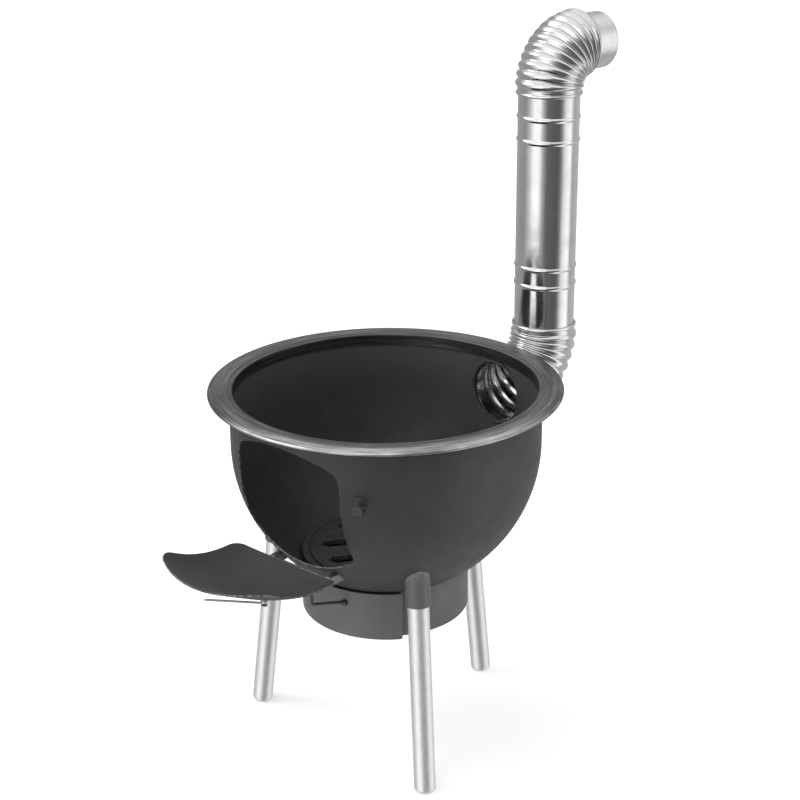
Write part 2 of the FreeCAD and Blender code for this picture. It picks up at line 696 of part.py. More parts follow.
def sheet_tube(outer_rows, inner_rows):
    """Thin-walled tube from the rings of its outer and its inner wall."""
    faces = [wall_face(a, b) for rows in (outer_rows, inner_rows) for a, b in zip(rows, rows[1:])]
    faces += [wall_face(outer_rows[end], inner_rows[end]) for end in (0, -1)]
    shell = Part.makeShell(faces)
    shell.sewShape()
    solid = Part.makeSolid(shell)
    if solid.Volume < 0:
        solid.reverse()
    return solid


def ridge_r(turn):
    """Outer radius of the corrugated wall after a number of ridges."""
    return VALLEY_R + RIDGE_HEIGHT * math.sin(math.pi * turn) ** 2


def bend_rows(centre, bend_r, ridges, start_deg, end_deg):
    """Outer rings of a corrugated quarter bend round a centre (y, z); angles are the rise from +Y."""
    steps = ridges * STEPS_PER_RIDGE
    side = 1 if end_deg > start_deg else -1
    rows = []
    for step in range(steps + 1):
        rise = start_deg + (end_deg - start_deg) * step / steps
        angle = math.radians(rise)
        y = centre[0] + side * bend_r * math.sin(angle)
        z = centre[1] - side * bend_r * math.cos(angle)
        rows.append((y, z, rise, ridge_r(step / STEPS_PER_RIDGE)))
    return rows


def lining(rows):
    """Inner rings that follow outer rings at the sheet's thickness."""
    return [(y, z, rise, radius - PIPE_SHEET) for y, z, rise, radius in rows]


def sleeve_rows(low_z, lip_on_top):
    """Outer rings, from the bottom up, of the socket that slips over the pipe, with a rolled lip."""
    outer_r = SLEEVE_BORE_R + PIPE_SHEET
    lip_low_z = low_z + (SLEEVE_LENGTH - 2 * LIP_ROLL_R if lip_on_top else 0)
    lip = []
    for step in range(STEPS_PER_RIDGE + 1):
        angle = math.pi * step / STEPS_PER_RIDGE
        z = lip_low_z + LIP_ROLL_R * (1 - math.cos(angle))
        lip.append((PIPE_DISTANCE, z, 90, outer_r + LIP_ROLL_R * math.sin(angle)))
    far_z = low_z if lip_on_top else low_z + SLEEVE_LENGTH
    plain = (PIPE_DISTANCE, far_z, 90, outer_r)
    return [plain] + lip if lip_on_top else lip + [plain]


def sleeve_bore(low_z):
    """Inner rings of the same socket."""
    return [(PIPE_DISTANCE, low_z, 90, SLEEVE_BORE_R), (PIPE_DISTANCE, low_z + SLEEVE_LENGTH, 90, SLEEVE_BORE_R)]


def lower_bend_top_z():
    """Height at which the lower elbow's bend ends and its upper socket begins."""
    return FLUE_Z + LOWER_BEND_R


def make_lower_elbow():
    """Corrugated elbow from the flue collar up to the pipe."""
    top_z = lower_bend_top_z()
    bend = bend_rows((PIPE_DISTANCE - LOWER_BEND_R, top_z), LOWER_BEND_R, LOWER_RIDGES, 0, 90)
    stub = [(STUB_START_Y, FLUE_Z, 0, VALLEY_R)]
    outside = stub + bend + sleeve_rows(top_z, True)
    return turned_to_flue(sheet_tube(outside, lining(stub + bend) + sleeve_bore(top_z)))


def make_chimney_pipe():
    """Straight pipe with two pairs of rolled beads."""
    low = lower_bend_top_z() + SEAT_GAP
    high = UPPER_BEND_START_Z - SEAT_GAP
    start = V(0, PIPE_DISTANCE, low)
    ring_r = PIPE_R + PIPE_BEAD_PROUD - PIPE_BEAD_R
    beads = [Part.makeTorus(ring_r, PIPE_BEAD_R, V(0, PIPE_DISTANCE, z)) for z in PIPE_BEAD_HEIGHTS]
    outside = Part.makeCylinder(PIPE_R, high - low, start).fuse(beads)
    return turned_to_flue(outside.cut(Part.makeCylinder(PIPE_R - PIPE_SHEET, high - low, start)))


def make_upper_elbow():
    """Corrugated elbow from the pipe's top to a level outlet of smaller bore."""
    centre_y = PIPE_DISTANCE + UPPER_BEND_R
    outlet_z = UPPER_BEND_START_Z + UPPER_BEND_R
    plate_y = centre_y + OUTLET_PLATE
    end_y = plate_y + OUTLET_LENGTH
    sleeve_z = UPPER_BEND_START_Z - SLEEVE_LENGTH
    bend = bend_rows((centre_y, UPPER_BEND_START_Z), UPPER_BEND_R, UPPER_RIDGES, 90, 0)
    plate = [(plate_y, outlet_z, 0, VALLEY_R), (plate_y, outlet_z, 0, OUTLET_R)]
    outlet_outside = plate + [(end_y, outlet_z, 0, OUTLET_R)]
    bore_r = OUTLET_R - PIPE_SHEET
    outlet_inside = [(centre_y, outlet_z, 0, bore_r), (end_y, outlet_z, 0, bore_r)]
    outside = sleeve_rows(sleeve_z, False) + bend + outlet_outside
    return turned_to_flue(sheet_tube(outside, sleeve_bore(sleeve_z) + lining(bend) + outlet_inside))


def all_parts():
    """Every node of the stove by name."""
    parts = {
        "bowl": make_bowl(),
        "rim_ring": make_rim_ring(),
        "grate": make_grate(),
        "fuel_door": make_fuel_door(),
        "door_hinge_straps": make_hinge_straps(),
        "bowl_hinge_lugs": make_hinge_lugs(),
        "door_hinge_pin": make_hinge_pin(),
        "latch_washer": make_latch_washer(),
        "latch_rivet": make_latch_rivet(),
        "latch_lever": make_latch_lever(),
        "latch_keeper": make_latch_keeper(),
        "leg_studs": make_leg_studs(),
        "leg_threaded_bushes": make_leg_bushes(),
        "ash_drum": make_ash_drum(),
        "ash_drum_base": make_ash_drum_base(),
        "drawer_runners": make_drawer_runners(),
        "ash_tray": make_ash_tray(),
        "drawer_front": make_drawer_front(),
        "drawer_handle": make_drawer_handle(),
        "flue_collar": make_flue_collar(),
        "lower_elbow": make_lower_elbow(),
        "chimney_pipe": make_chimney_pipe(),
        "upper_elbow": make_upper_elbow(),
    }
    for place, azimuth in LEG_AZIMUTHS.items():
        parts["leg_" + place] = make_leg(azimuth)
        parts["leg_socket_" + place] = make_leg_socket(azimuth)
    return parts


os.makedirs("parts", exist_ok=True)
for name, shape in all_parts().items():
    shape.exportStep("parts/" + name + ".step")
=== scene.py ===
import json
import math
import random

import bpy
import numpy as np
from mathutils import Matrix, Vector
from mathutils.geometry import delaunay_2d_cdt
from mathutils.kdtree import KDTree


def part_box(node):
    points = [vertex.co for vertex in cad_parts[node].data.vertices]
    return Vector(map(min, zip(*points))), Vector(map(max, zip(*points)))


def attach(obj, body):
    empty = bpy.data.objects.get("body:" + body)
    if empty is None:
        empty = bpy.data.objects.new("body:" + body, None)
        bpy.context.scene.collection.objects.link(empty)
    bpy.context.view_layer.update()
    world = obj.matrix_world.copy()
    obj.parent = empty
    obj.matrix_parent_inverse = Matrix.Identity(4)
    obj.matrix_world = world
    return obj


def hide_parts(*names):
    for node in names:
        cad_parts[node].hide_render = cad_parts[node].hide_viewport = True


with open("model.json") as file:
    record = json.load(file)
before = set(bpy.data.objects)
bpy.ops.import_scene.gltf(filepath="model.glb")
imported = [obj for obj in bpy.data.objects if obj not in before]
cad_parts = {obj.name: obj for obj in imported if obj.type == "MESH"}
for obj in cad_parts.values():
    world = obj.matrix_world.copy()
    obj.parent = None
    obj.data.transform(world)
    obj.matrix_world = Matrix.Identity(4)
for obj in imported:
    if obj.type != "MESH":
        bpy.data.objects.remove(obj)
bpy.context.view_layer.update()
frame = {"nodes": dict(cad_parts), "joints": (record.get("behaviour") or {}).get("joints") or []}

# The visual model of a bowl hearth stove. Shapes are worked out in millimetres in the frame's axes
# (+Z up, fuel door towards -Y, chimney on the +Y side, origin at the middle of the rim) and stored in metres.
# Azimuths are measured from -Y towards +X.

MM = 0.001
UP = Vector((0, 0, 1))
RIGHT = Vector((1, 0, 0))
BACK = Vector((0, 1, 0))


def box_mm(node):
    """Lowest and highest corner of a CAD node, in millimetres."""
    low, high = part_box(node)
    return low / MM, high / MM


def joint(name):
    """A joint of the frame by name."""
    return next(j for j in frame["joints"] if j["name"] == name)


# Sizes read from the frame
BOWL_LOW, BOWL_HIGH = box_mm("bowl")
RIM_R = box_mm("rim_ring")[1].x
BOWL_R = BOWL_HIGH.x
BOWL_TOP_Z = BOWL_HIGH.z
HINGE = Vector(joint("fuel_door_hinge")["pos_m"]) / MM
DOOR_OPEN_DEG = -joint("fuel_door_hinge")["range_deg"][0]
LATCH_PIVOT = Vector(joint("door_latch_turn")["pos_m"]) / MM
LATCH_AXIS = Vector(joint("door_latch_turn")["axis"]).normalized()
DRUM_LOW, DRUM_HIGH = box_mm("ash_drum")
DRUM_R = DRUM_HIGH.x
FRONT_LOW, FRONT_HIGH = box_mm("drawer_front")
GRATE_LOW, GRATE_HIGH = box_mm("grate")
PIPE_LOW, PIPE_HIGH = box_mm("chimney_pipe")
PIPE_CENTRE = (PIPE_LOW + PIPE_HIGH) / 2
PIPE_DISTANCE = math.hypot(PIPE_CENTRE.x, PIPE_CENTRE.y)
FLUE_AZIMUTH = math.pi - math.atan2(PIPE_CENTRE.x, PIPE_CENTRE.y)
FLUE_Z = sum(corner.z for corner in box_mm("flue_collar")) / 2

# Bowl and fuel opening
BOWL_WALL = 2.0
BOWL_HOLE_R = 76.0
BALL_Z = BOWL_LOW.z + math.sqrt(BOWL_R ** 2 - BOWL_HOLE_R ** 2)
SHEET_EDGE = 0.6
OPENING_HALF_WIDTH = 64.1
OPENING_TOP_Z = -17.3
OPENING_TOP_CORNER_Z = -34.4
OPENING_BOTTOM_Z = -145.2
OPENING_BOTTOM_CORNER_Z = -125.0
TOP_CORNER_R = 19.0
BOTTOM_CORNER_R = 15.0
DOOR_MARGIN = 2.0
DOOR_R = 152.4
DOOR_SHEET = 1.8

# Hinge of the fuel door
KNUCKLE_R = 3.4
STRAP_PROUD = 1.8
STRAP_SHEET = 1.75
STRAP_WIDTH = 30.0
STRAP_STARTS = (-32.0, 2.0)
STRAP_TOP_Z = -112.0
LUG_OUTER_X = 39.0
LUG_WIDTH = 6.0
LUG_R = 4.5
LUG_TOP_ROOT_Y = -112.0
LUG_BOTTOM_ROOT_Y = -104.0
AXLE_R = 2.0
AXLE_HALF = 39.3
AXLE_HEAD_R = 3.6
AXLE_HEAD_HEIGHT = 1.6

# Latch. Its two starts lie on its axis, from the middle of the lever's eye; the rivet's other places follow
# from its own start.
LATCH_TILT_DEG = 46.0
LATCH_LENGTH = 52.0
LATCH_WIRE_R = 1.0
EYE_BORE_R = 1.68
EYE_R = 3.4
EYE_HEIGHT = 2.2
WASHER_BORE_R = 1.7
WASHER_R = 3.8
WASHER_HEIGHT = 0.8
WASHER_START = -2.05
RIVET_START = -5.45
RIVET_R = 1.6
RIVET_TAIL_R = 2.8
RIVET_TAIL_END = 1.2
RIVET_HEAD_R = 2.9
RIVET_HEAD_START = 6.7
RIVET_DOME_START = 7.6
RIVET_DOME_HEIGHT = 1.1
KEEPER_AZIMUTH_DEG = 32.7
KEEPER_WIDTH = 9.0
KEEPER_REACH = 16.0
KEEPER_TOP_Z = -51.2
KEEPER_FLOOR_Z = -62.6
KEEPER_LIP_Z = -54.2

# Rim
LIP_R = 146.3
RIM_SHEET = 1.6
SKIRT_R = 147.9
SKIRT_LOW_Z = -12.0
RIM_GROOVE = ((151.4, 0.0), (150.6, -0.5), (149.8, 0.0))
LAND_R = 158.0
BEAD_R = 1.6
BEAD_DROP = 0.6

# Grate
GRATE_TURN_DEG = 56.0
SLOT_WIDTH = 13.8
SLOT_PITCH = 36.5
SLOT_FIELD_R = 68.0
GRATE_RIB = 9.0
GRATE_EDGE = 0.9
GRATE_DISC_R = 76.4
GRATE_RING_R = 76.2
GRATE_GROOVE_R = 79.0
GRATE_GROOVE_DEPTH = 1.5

# Legs
LEG_AZIMUTHS = {"front_right": 55.7, "front_left": -64.3, "rear": 175.7}
FLOOR_Z = box_mm("leg_rear")[0].z
FOOT_RADIUS = 138.8
LEG_R = 10.3
LEG_SHEET = 1.5
LEG_LENGTH = 202.0
LEG_PLUG_DEPTH = 30.0
LEG_TOP_R = 113.0
LEG_TOP_REFERENCE_Z = -150.0
FOOT_ROUND = 5.0
SOCKET_R = 12.0
SOCKET_BORE_R = 10.36
SOCKET_LOW_Z = -178.0

# Ash drum and drawer
DRUM_SHEET = 1.5
DRUM_DOORWAY_HALF = 61.0
FRONT_R = 85.3
FRONT_SHEET = 1.8
FRONT_HALF_ANGLE_DEG = 51.0
HANDLE_X = 19.0
HANDLE_WIRE_R = 1.5
HANDLE_ROOT_Z = -194.0
HANDLE_CORNER_Z = -178.8
NUT_Z = -194.4
NUT_R = 3.1
NUT_HEIGHT = 3.2

# Flue
TUBE_SEGMENTS = 128
PIPE_R = 30.5
PIPE_SHEET = 0.8
SLEEVE_BORE_R = 30.58
SLEEVE_LENGTH = 7.0
VALLEY_R = 31.2
RIDGE_HEIGHT = 2.7
COLLAR_R = 33.0
COLLAR_BORE_R = 31.3
COLLAR_INNER_Y = 145.0
COLLAR_OUTER_Y = 156.5
STUB_START_Y = 148.5
LOWER_BEND_R = 55.0
UPPER_BEND_R = 38.0
LOWER_RIDGES = 10
UPPER_RIDGES = 11
OUTLET_R = 27.7
OUTLET_LENGTH = 27.8
PIPE_BEAD_HEIGHTS = (59.0, 77.5, 206.0, 228.5)
PIPE_BEAD_HALF = 2.6
PIPE_BEAD_PROUD = 1.2

# Camera; its turn is the azimuth it looks from
CAMERA_TURN_DEG = 41.23
CAMERA_TILT_DEG = 68.84
CAMERA_ROLL_DEG = -0.47
CAMERA_PLACE = (1.0082, -1.1298, 0.5694)
CAMERA_LENS_MM = 76.2


# Mesh building

class Form:
    """Points, normals, wear (0 to 1) and faces of a mesh in millimetres; a face's kind picks its material."""

    def __init__(self, points, normals, wear, faces, kinds=None):
        self.points = np.asarray(points, float).reshape(-1, 3)
        self.normals = np.asarray(normals, float).reshape(-1, 3)
        self.wear = np.asarray(wear, float)
        self.faces = faces
        self.kinds = kinds or [0] * len(faces)

    def moved(self, matrix):
        """The same form after a rigid move."""
        turn = np.array(matrix.to_3x3())
        shift = np.array(matrix.translation)
        return Form(self.points @ turn.T + shift, self.normals @ turn.T, self.wear, self.faces, self.kinds)

    def __add__(self, other):
        first = len(self.points)
        faces = self.faces + [tuple(i + first for i in face) for face in other.faces]
        points = np.vstack((self.points, other.points))
        normals = np.vstack((self.normals, other.normals))
        return Form(points, normals, np.concatenate((self.wear, other.wear)), faces, self.kinds + other.kinds)


def add_piece(name, form, body, node, *looks):
    """Object for a form, riding on a body and standing for a CAD node. A face's kind picks its look."""
    mesh = bpy.data.meshes.new(name)
    mesh.from_pydata((form.points * MM).tolist(), [], form.faces)
    mesh.polygons.foreach_set("use_smooth", [True] * len(mesh.polygons))
    mesh.polygons.foreach_set("material_index", form.kinds)
    wear = mesh.attributes.new("edge_wear", "FLOAT", "POINT")
    wear.data.foreach_set("value", form.wear.astype(np.float32))
    for look in looks:
        mesh.materials.append(LOOKS[look][0])
    mesh.update()
    mesh.normals_split_custom_set_from_vertices(form.normals.tolist())
    piece = bpy.data.objects.new(name, mesh)
    bpy.context.scene.collection.objects.link(piece)
    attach(piece, body)
    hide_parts(node)


def unit_rows(vectors):
    """Rows scaled to length one."""
    vectors = np.asarray(vectors, float)
    return vectors / np.linalg.norm(vectors, axis=1, keepdims=True)


def densify(loop, step):
    """Closed outline with points added so that no side is longer than a step."""
    dense = []
    for (ax, ay), (bx, by) in zip(loop, loop[1:] + loop[:1]):
        count = max(1, math.ceil(math.hypot(bx - ax, by - ay) / step - 1e-6))
        dense += [(ax + (bx - ax) * i / count, ay + (by - ay) * i / count) for i in range(count)]
    return dense


def round_corners(loop, radius, steps=4):
    """Closed outline with every corner turned into an arc. radius is one number or one per corner."""
    radii = radius if isinstance(radius, (list, tuple)) else [radius] * len(loop)
    rounded = []
    for index, corner in enumerate(loop):
        p = Vector(corner)
        to_last = Vector(loop[index - 1]) - p
        to_next = Vector(loop[(index + 1) % len(loop)]) - p
        half = to_last.angle(to_next) / 2
        reach = min(radii[index] / math.tan(half), 0.49 * to_last.length, 0.49 * to_next.length)
        if reach < 1e-6:
            rounded.append(tuple(p))
            continue
        a, b = to_last.normalized(), to_next.normalized()
        centre = p + (a + b).normalized() * reach / math.cos(half)
        start, end = p + a * reach - centre, p + b * reach - centre
        sweep = start.angle(end)
        for i in range(steps + 1):
            share = i / steps
            blend = start * math.sin((1 - share) * sweep) + end * math.sin(share * sweep)
            rounded.append(tuple(centre + blend / math.sin(sweep)))
    return rounded


def arc(centre, radius, start_deg, sweep_deg, steps):
    """Points along an arc of a circle, both ends included."""
    angles = [math.radians(start_deg + sweep_deg * k / steps) for k in range(steps + 1)]
    return [(centre[0] + radius * math.cos(a), centre[1] + radius * math.sin(a)) for a in angles]


def outward_at(azimuth):
    """Level direction away from the stove's axis."""
    return Vector((math.sin(azimuth), -math.cos(azimuth), 0))


def inside(points, loops):
    """Which points lie inside an odd number of the outlines."""
    x, y = points[:, :1], points[:, 1:2]
    result = np.zeros(len(points), bool)
    for loop in loops:
        a = np.asarray(loop)
        b = np.roll(a, -1, axis=0)
        rise = np.where(b[:, 1] == a[:, 1], 1.0, b[:, 1] - a[:, 1])
        crossing = a[:, 0] + (y - a[:, 1]) * (b[:, 0] - a[:, 0]) / rise
        hits = ((a[:, 1] > y) != (b[:, 1] > y)) & (x < crossing)
        result ^= hits.sum(axis=1) % 2 == 1
    return result


def fill_grid(loops, spacing):
    """Points of a staggered grid inside the outlines, kept a little away from them."""
    border = np.vstack(loops)
    low, high = border.min(0), border.max(0)
    row_step = spacing * math.sqrt(0.75)
    grid = []
    for row in range(int((high[1] - low[1]) / row_step) + 1):
        y = low[1] + (row + 0.5) * row_step
        first = low[0] + (row % 2) * spacing / 2
        grid += [(x, y) for x in np.arange(first, high[0], spacing)]
    grid = np.array(grid)
    grid = grid[inside(grid, loops)]
    tree = KDTree(len(border))
    for index, (x, y) in enumerate(border):
        tree.insert((x, y, 0), index)
    tree.balance()
    return [tuple(p) for p in grid if tree.find((p[0], p[1], 0))[2] > 0.6 * spacing]


def triangulate(loops, extra):
    """Triangles of the flat region inside the outlines, through all extra points."""
    points = [Vector(p) for loop in loops for p in loop] + [Vector(p) for p in extra]
    edges = []
    first = 0
    for loop in loops:
        edges += [(first + i, first + (i + 1) % len(loop)) for i in range(len(loop))]
        first += len(loop)
    out_points, _, triangles, *_ = delaunay_2d_cdt(points, edges, [], 0, 1e-5)
    flat = np.array([tuple(p) for p in out_points])
    triangles = np.array([t for t in triangles if len(t) == 3])
    return flat, triangles[inside(flat[triangles].mean(axis=1), loops)]


def weld(flat, triangles, surface):
    """Places the flat points on a surface and joins the points that meet there."""
    places, normals, seen, index = [], [], {}, []
    for u, v in flat:
        place, normal = surface(u, v)
        key = tuple(round(c, 3) for c in place)
        if key not in seen:
            seen[key] = len(places)
            places.append(place)
            normals.append(normal)
        index.append(seen[key])
    joined = np.array(index)[triangles]
    joined = [tuple(int(i) for i in t) for t in joined if len(set(t)) == 3]
    return np.array(places, float), np.array(normals, float), joined


def sheet(loops, surface, thickness, spacing, edge_r=SHEET_EDGE):
    """Sheet with rounded edges. Outlines are in the surface's (u, v); the surface gives place and normal."""
    steps = 3
    loops = [densify(loop, spacing) for loop in loops]
    flat, triangles = triangulate(loops, fill_grid(loops, spacing))
    outer, normals, triangles = weld(flat, triangles, surface)
    a, b, c = outer[np.array(triangles)].transpose(1, 0, 2)
    facing = np.einsum("ij,ij->i", np.cross(b - a, c - a), normals[[t[0] for t in triangles]])
    triangles = [t if f > 0 else t[::-1] for t, f in zip(triangles, facing)]
    count = len(outer)
    sides = dict.fromkeys(side for t in triangles for side in zip(t, t[1:] + t[:1]))
    border = [side for side in sides if side[::-1] not in sides]
    outward = {}
    for first, last in border:
        away = np.cross(outer[last] - outer[first], normals[first])
        for point in (first, last):
            outward[point] = outward.get(point, 0) + away / np.linalg.norm(away)
    ring = {}
    strip_points, strip_normals = [], []
    angles = [math.pi / 2 * (k + 1) / steps for k in range(steps)]
    for point, away in outward.items():
        away = away / np.linalg.norm(away)
        n = normals[point]
        first = 2 * count + len(strip_points)
        ring[point] = [point, *range(first, first + 2 * steps), count + point]
        for face_side, order in ((1, angles), (-1, angles[::-1])):
            base = outer[point] if face_side > 0 else outer[point] - n * thickness
            for angle in order:
                sink = edge_r * (1 - math.cos(angle))
                strip_points.append(base + away * edge_r * math.sin(angle) - n * face_side * sink)
                strip_normals.append(away * math.sin(angle) + n * face_side * math.cos(angle))
    faces = triangles + [tuple(i + count for i in t[::-1]) for t in triangles]
    kinds = [0] * len(triangles) + [1] * len(triangles)
    for first, last in border:
        a, b = ring[first], ring[last]
        faces += [(b[k], a[k], a[k + 1], b[k + 1]) for k in range(len(a) - 1)]
    kinds += [0] * (len(faces) - len(kinds))
    wear = np.zeros(2 * count + len(strip_points))
    wear[2 * count:] = 1
    for point in outward:
        wear[[point, point + count]] = 0.6
    points = np.vstack((outer, outer - normals * thickness, strip_points))
    return Form(points, np.vstack((normals, -normals, unit_rows(strip_normals))), wear, faces, kinds)


def lathe(profile, place=Matrix.Identity(4), segments=128):
    """Closed profile of (radius, height), counter-clockwise, turned about the local Z axis of a placement."""
    profile = np.array(profile, float)
    back = profile - np.roll(profile, 1, axis=0)
    ahead = np.roll(profile, -1, axis=0) - profile
    tangent = back * np.linalg.norm(back, axis=1, keepdims=True)
    tangent += ahead * np.linalg.norm(ahead, axis=1, keepdims=True)
    tangent = unit_rows(tangent)
    turn = np.cross(unit_rows(back), unit_rows(ahead))
    wear_row = np.clip(turn / math.sin(math.radians(25)), 0, 1)
    points, normals, wear, rings = [], [], [], []
    for (radius, height), (tr, th), worn in zip(profile, tangent, wear_row):
        if radius < 1e-6:
            rings.append([len(points)] * segments)
            points.append((0, 0, height))
            normals.append((0, 0, -tr))
            wear.append(worn)
            continue
        rings.append(range(len(points), len(points) + segments))
        for k in range(segments):
            angle = 2 * math.pi * k / segments
            cos, sin = math.cos(angle), math.sin(angle)
            points.append((radius * cos, radius * sin, height))
            normals.append((th * cos, th * sin, -tr))
            wear.append(worn)
    faces = []
    for low, high in zip(rings, rings[1:] + rings[:1]):
        for k in range(segments):
            after = (k + 1) % segments
            face = tuple(dict.fromkeys((low[k], low[after], high[after], high[k])))
            if len(face) > 2:
                faces.append(face)
    return Form(points, unit_rows(normals), wear, faces).moved(place)


def ring_faces(rows, segments, total):
    """Quads from each of the first rows of a tube's points to the next; the last of all meets the first."""
    faces = []
    for row in range(rows):
        low, high = row * segments, (row + 1) % total * segments
        for k in range(segments):
            after = (k + 1) % segments
            faces.append((low + k, low + after, high + after, high + k))
    return faces


def path_tangents(path):
    """Direction of a path at each of its points."""
    sides = [(b - a).normalized() for a, b in zip(path, path[1:])]
    return [sides[0]] + [(a + b).normalized() for a, b in zip(sides, sides[1:])] + [sides[-1]]


def towards(place, direction):
    """Placement at a point with its Z axis along a direction."""
    turn = UP.rotation_difference(Vector(direction)).to_matrix().to_4x4()
    return Matrix.Translation(Vector(place)) @ turn


def rod(path, radius):
    """Round wire along a path, with ball ends."""
    sides, cap_steps = 24, 5
    path = [Vector(p) for p in path]
    tangents = path_tangents(path)
    rows = []
    for k in range(cap_steps):
        angle = math.pi / 2 * (1 - k / cap_steps)
        rows.append((path[0] - tangents[0] * radius * math.sin(angle), tangents[0], angle, -1))
    rows += [(p, t, 0, 1) for p, t in zip(path, tangents)]
    for k in range(1, cap_steps + 1):
        angle = math.pi / 2 * k / cap_steps
        rows.append((path[-1] + tangents[-1] * radius * math.sin(angle), tangents[-1], angle, 1))
    side = tangents[0].orthogonal().normalized()
    points, normals = [], []
    last = tangents[0]
    for centre, tangent, angle, sign in rows:
        side = last.rotation_difference(tangent) @ side
        last = tangent
        other = tangent.cross(side)
        for k in range(sides):
            turn = 2 * math.pi * k / sides
            out = side * math.cos(turn) + other * math.sin(turn)
            points.append(centre + out * max(radius * math.cos(angle), 1e-3))
            normals.append(out * math.cos(angle) + tangent * sign * math.sin(angle))
    faces = ring_faces(len(rows) - 1, sides, len(rows))
    faces += [tuple(range(sides))[::-1], tuple(range(len(points) - sides, len(points)))]
    return Form(points, unit_rows(normals), np.zeros(len(points)), faces)


def bend_path(points, radius, steps=6):
    """Open path whose inner corners are turned into arcs."""
    return round_corners(points, [0.0] + [radius] * (len(points) - 2) + [0.0], steps)


# Surfaces: each gives the place and the outward normal at (u, v)

def dish(radius, top_z):
    """Band and ball of a radius: u is measured round the band and v down from its top."""
    band = top_z - BALL_Z

    def surface(u, v):
        azimuth = u / radius
        dip = max(0.0, v - band) / radius
        level = math.cos(dip)
        normal = (level * math.sin(azimuth), -level * math.cos(azimuth), -math.sin(dip))
        z = top_z - v if v < band else BALL_Z - radius * math.sin(dip)
        return (normal[0] * radius, normal[1] * radius, z), normal

    return surface


def onto_dish(x, z, radius, top_z):
    """(u, v) on a dish of the point on its front that is seen at (x, z)."""
    dip = math.asin(max(0.0, BALL_Z - z) / radius)
    u = radius * math.asin(x / (radius * math.cos(dip)))
    v = top_z - z if z > BALL_Z else top_z - BALL_Z + radius * dip
    return u, v


def drum(radius):
    """Upright cylinder: u is measured round it and v is the height."""
    def surface(u, v):
        azimuth = u / radius
        normal = (math.sin(azimuth), -math.cos(azimuth), 0)
        return (radius * normal[0], radius * normal[1], v), normal

    return surface


def ribbon(path, across):
    """Surface along a path, with u along the path and v across it, and the path's length."""
    path = [Vector(p) for p in path]
    across = Vector(across).normalized()
    tangents = path_tangents(path)
    lengths = [0.0]
    for a, b in zip(path, path[1:]):
        lengths.append(lengths[-1] + (b - a).length)

    def surface(u, v):
        u = min(max(u, 0.0), lengths[-1])
        step = min(int(np.searchsorted(lengths, u, side="right")) - 1, len(path) - 2)
        share = (u - lengths[step]) / (lengths[step + 1] - lengths[step])
        place = path[step].lerp(path[step + 1], share) + across * v
        along = tangents[step].lerp(tangents[step + 1], share).normalized()
        return tuple(place), tuple(along.cross(across))

    return surface, lengths[-1]


def block_outline(low, high, radius):
    """Rectangle with rounded corners."""
    corners = [(low[0], low[1]), (high[0], low[1]), (high[0], high[1]), (low[0], high[1])]
    return round_corners(corners, radius)


def strip(path, across, low, high, thickness, spacing, edge_r, rounds):
    """Strip of sheet bent along a path, from low to high across it."""
    surface, length = ribbon(path, across)
    outline = block_outline((edge_r, low + edge_r), (length - edge_r, high - edge_r), rounds)
    return sheet([outline], surface, thickness, spacing, edge_r)


# Materials

class Nodes:
    """A node tree built step by step. An input is a value or another node's output."""

    def __init__(self, tree):
        self.tree = tree

    def feed(self, socket, value):
        """Sets or links one input."""
        if isinstance(value, bpy.types.NodeSocket):
            self.tree.links.new(value, socket)
        else:
            socket.default_value = value

    def add(self, kind, inputs=None, **settings):
        """A node with its settings and inputs."""
        made = self.tree.nodes.new(kind)
        for key, value in settings.items():
            setattr(made, key, value)
        for key, value in (inputs or {}).items():
            self.feed(made.inputs[key], value)
        return made

    def math(self, operation, *values):
        """Result of a math node."""
        return self.add("ShaderNodeMath", dict(enumerate(values)), operation=operation).outputs[0]

    def span(self, value, low, high, to_low=0.0, to_high=1.0):
        """Value carried from one range to another and held at the ends."""
        inputs = {"Value": value, "From Min": low, "From Max": high, "To Min": to_low, "To Max": to_high}
        return self.add("ShaderNodeMapRange", inputs).outputs["Result"]

    def blend(self, share, a, b):
        """Colour between two colours."""
        made = self.add("ShaderNodeMix", {"Factor": share}, data_type="RGBA")
        for socket, value in zip([s for s in made.inputs if s.type == "RGBA"], (a, b)):
            self.feed(socket, value if isinstance(value, bpy.types.NodeSocket) else (*value, 1.0))
        return next(s for s in made.outputs if s.type == "RGBA")


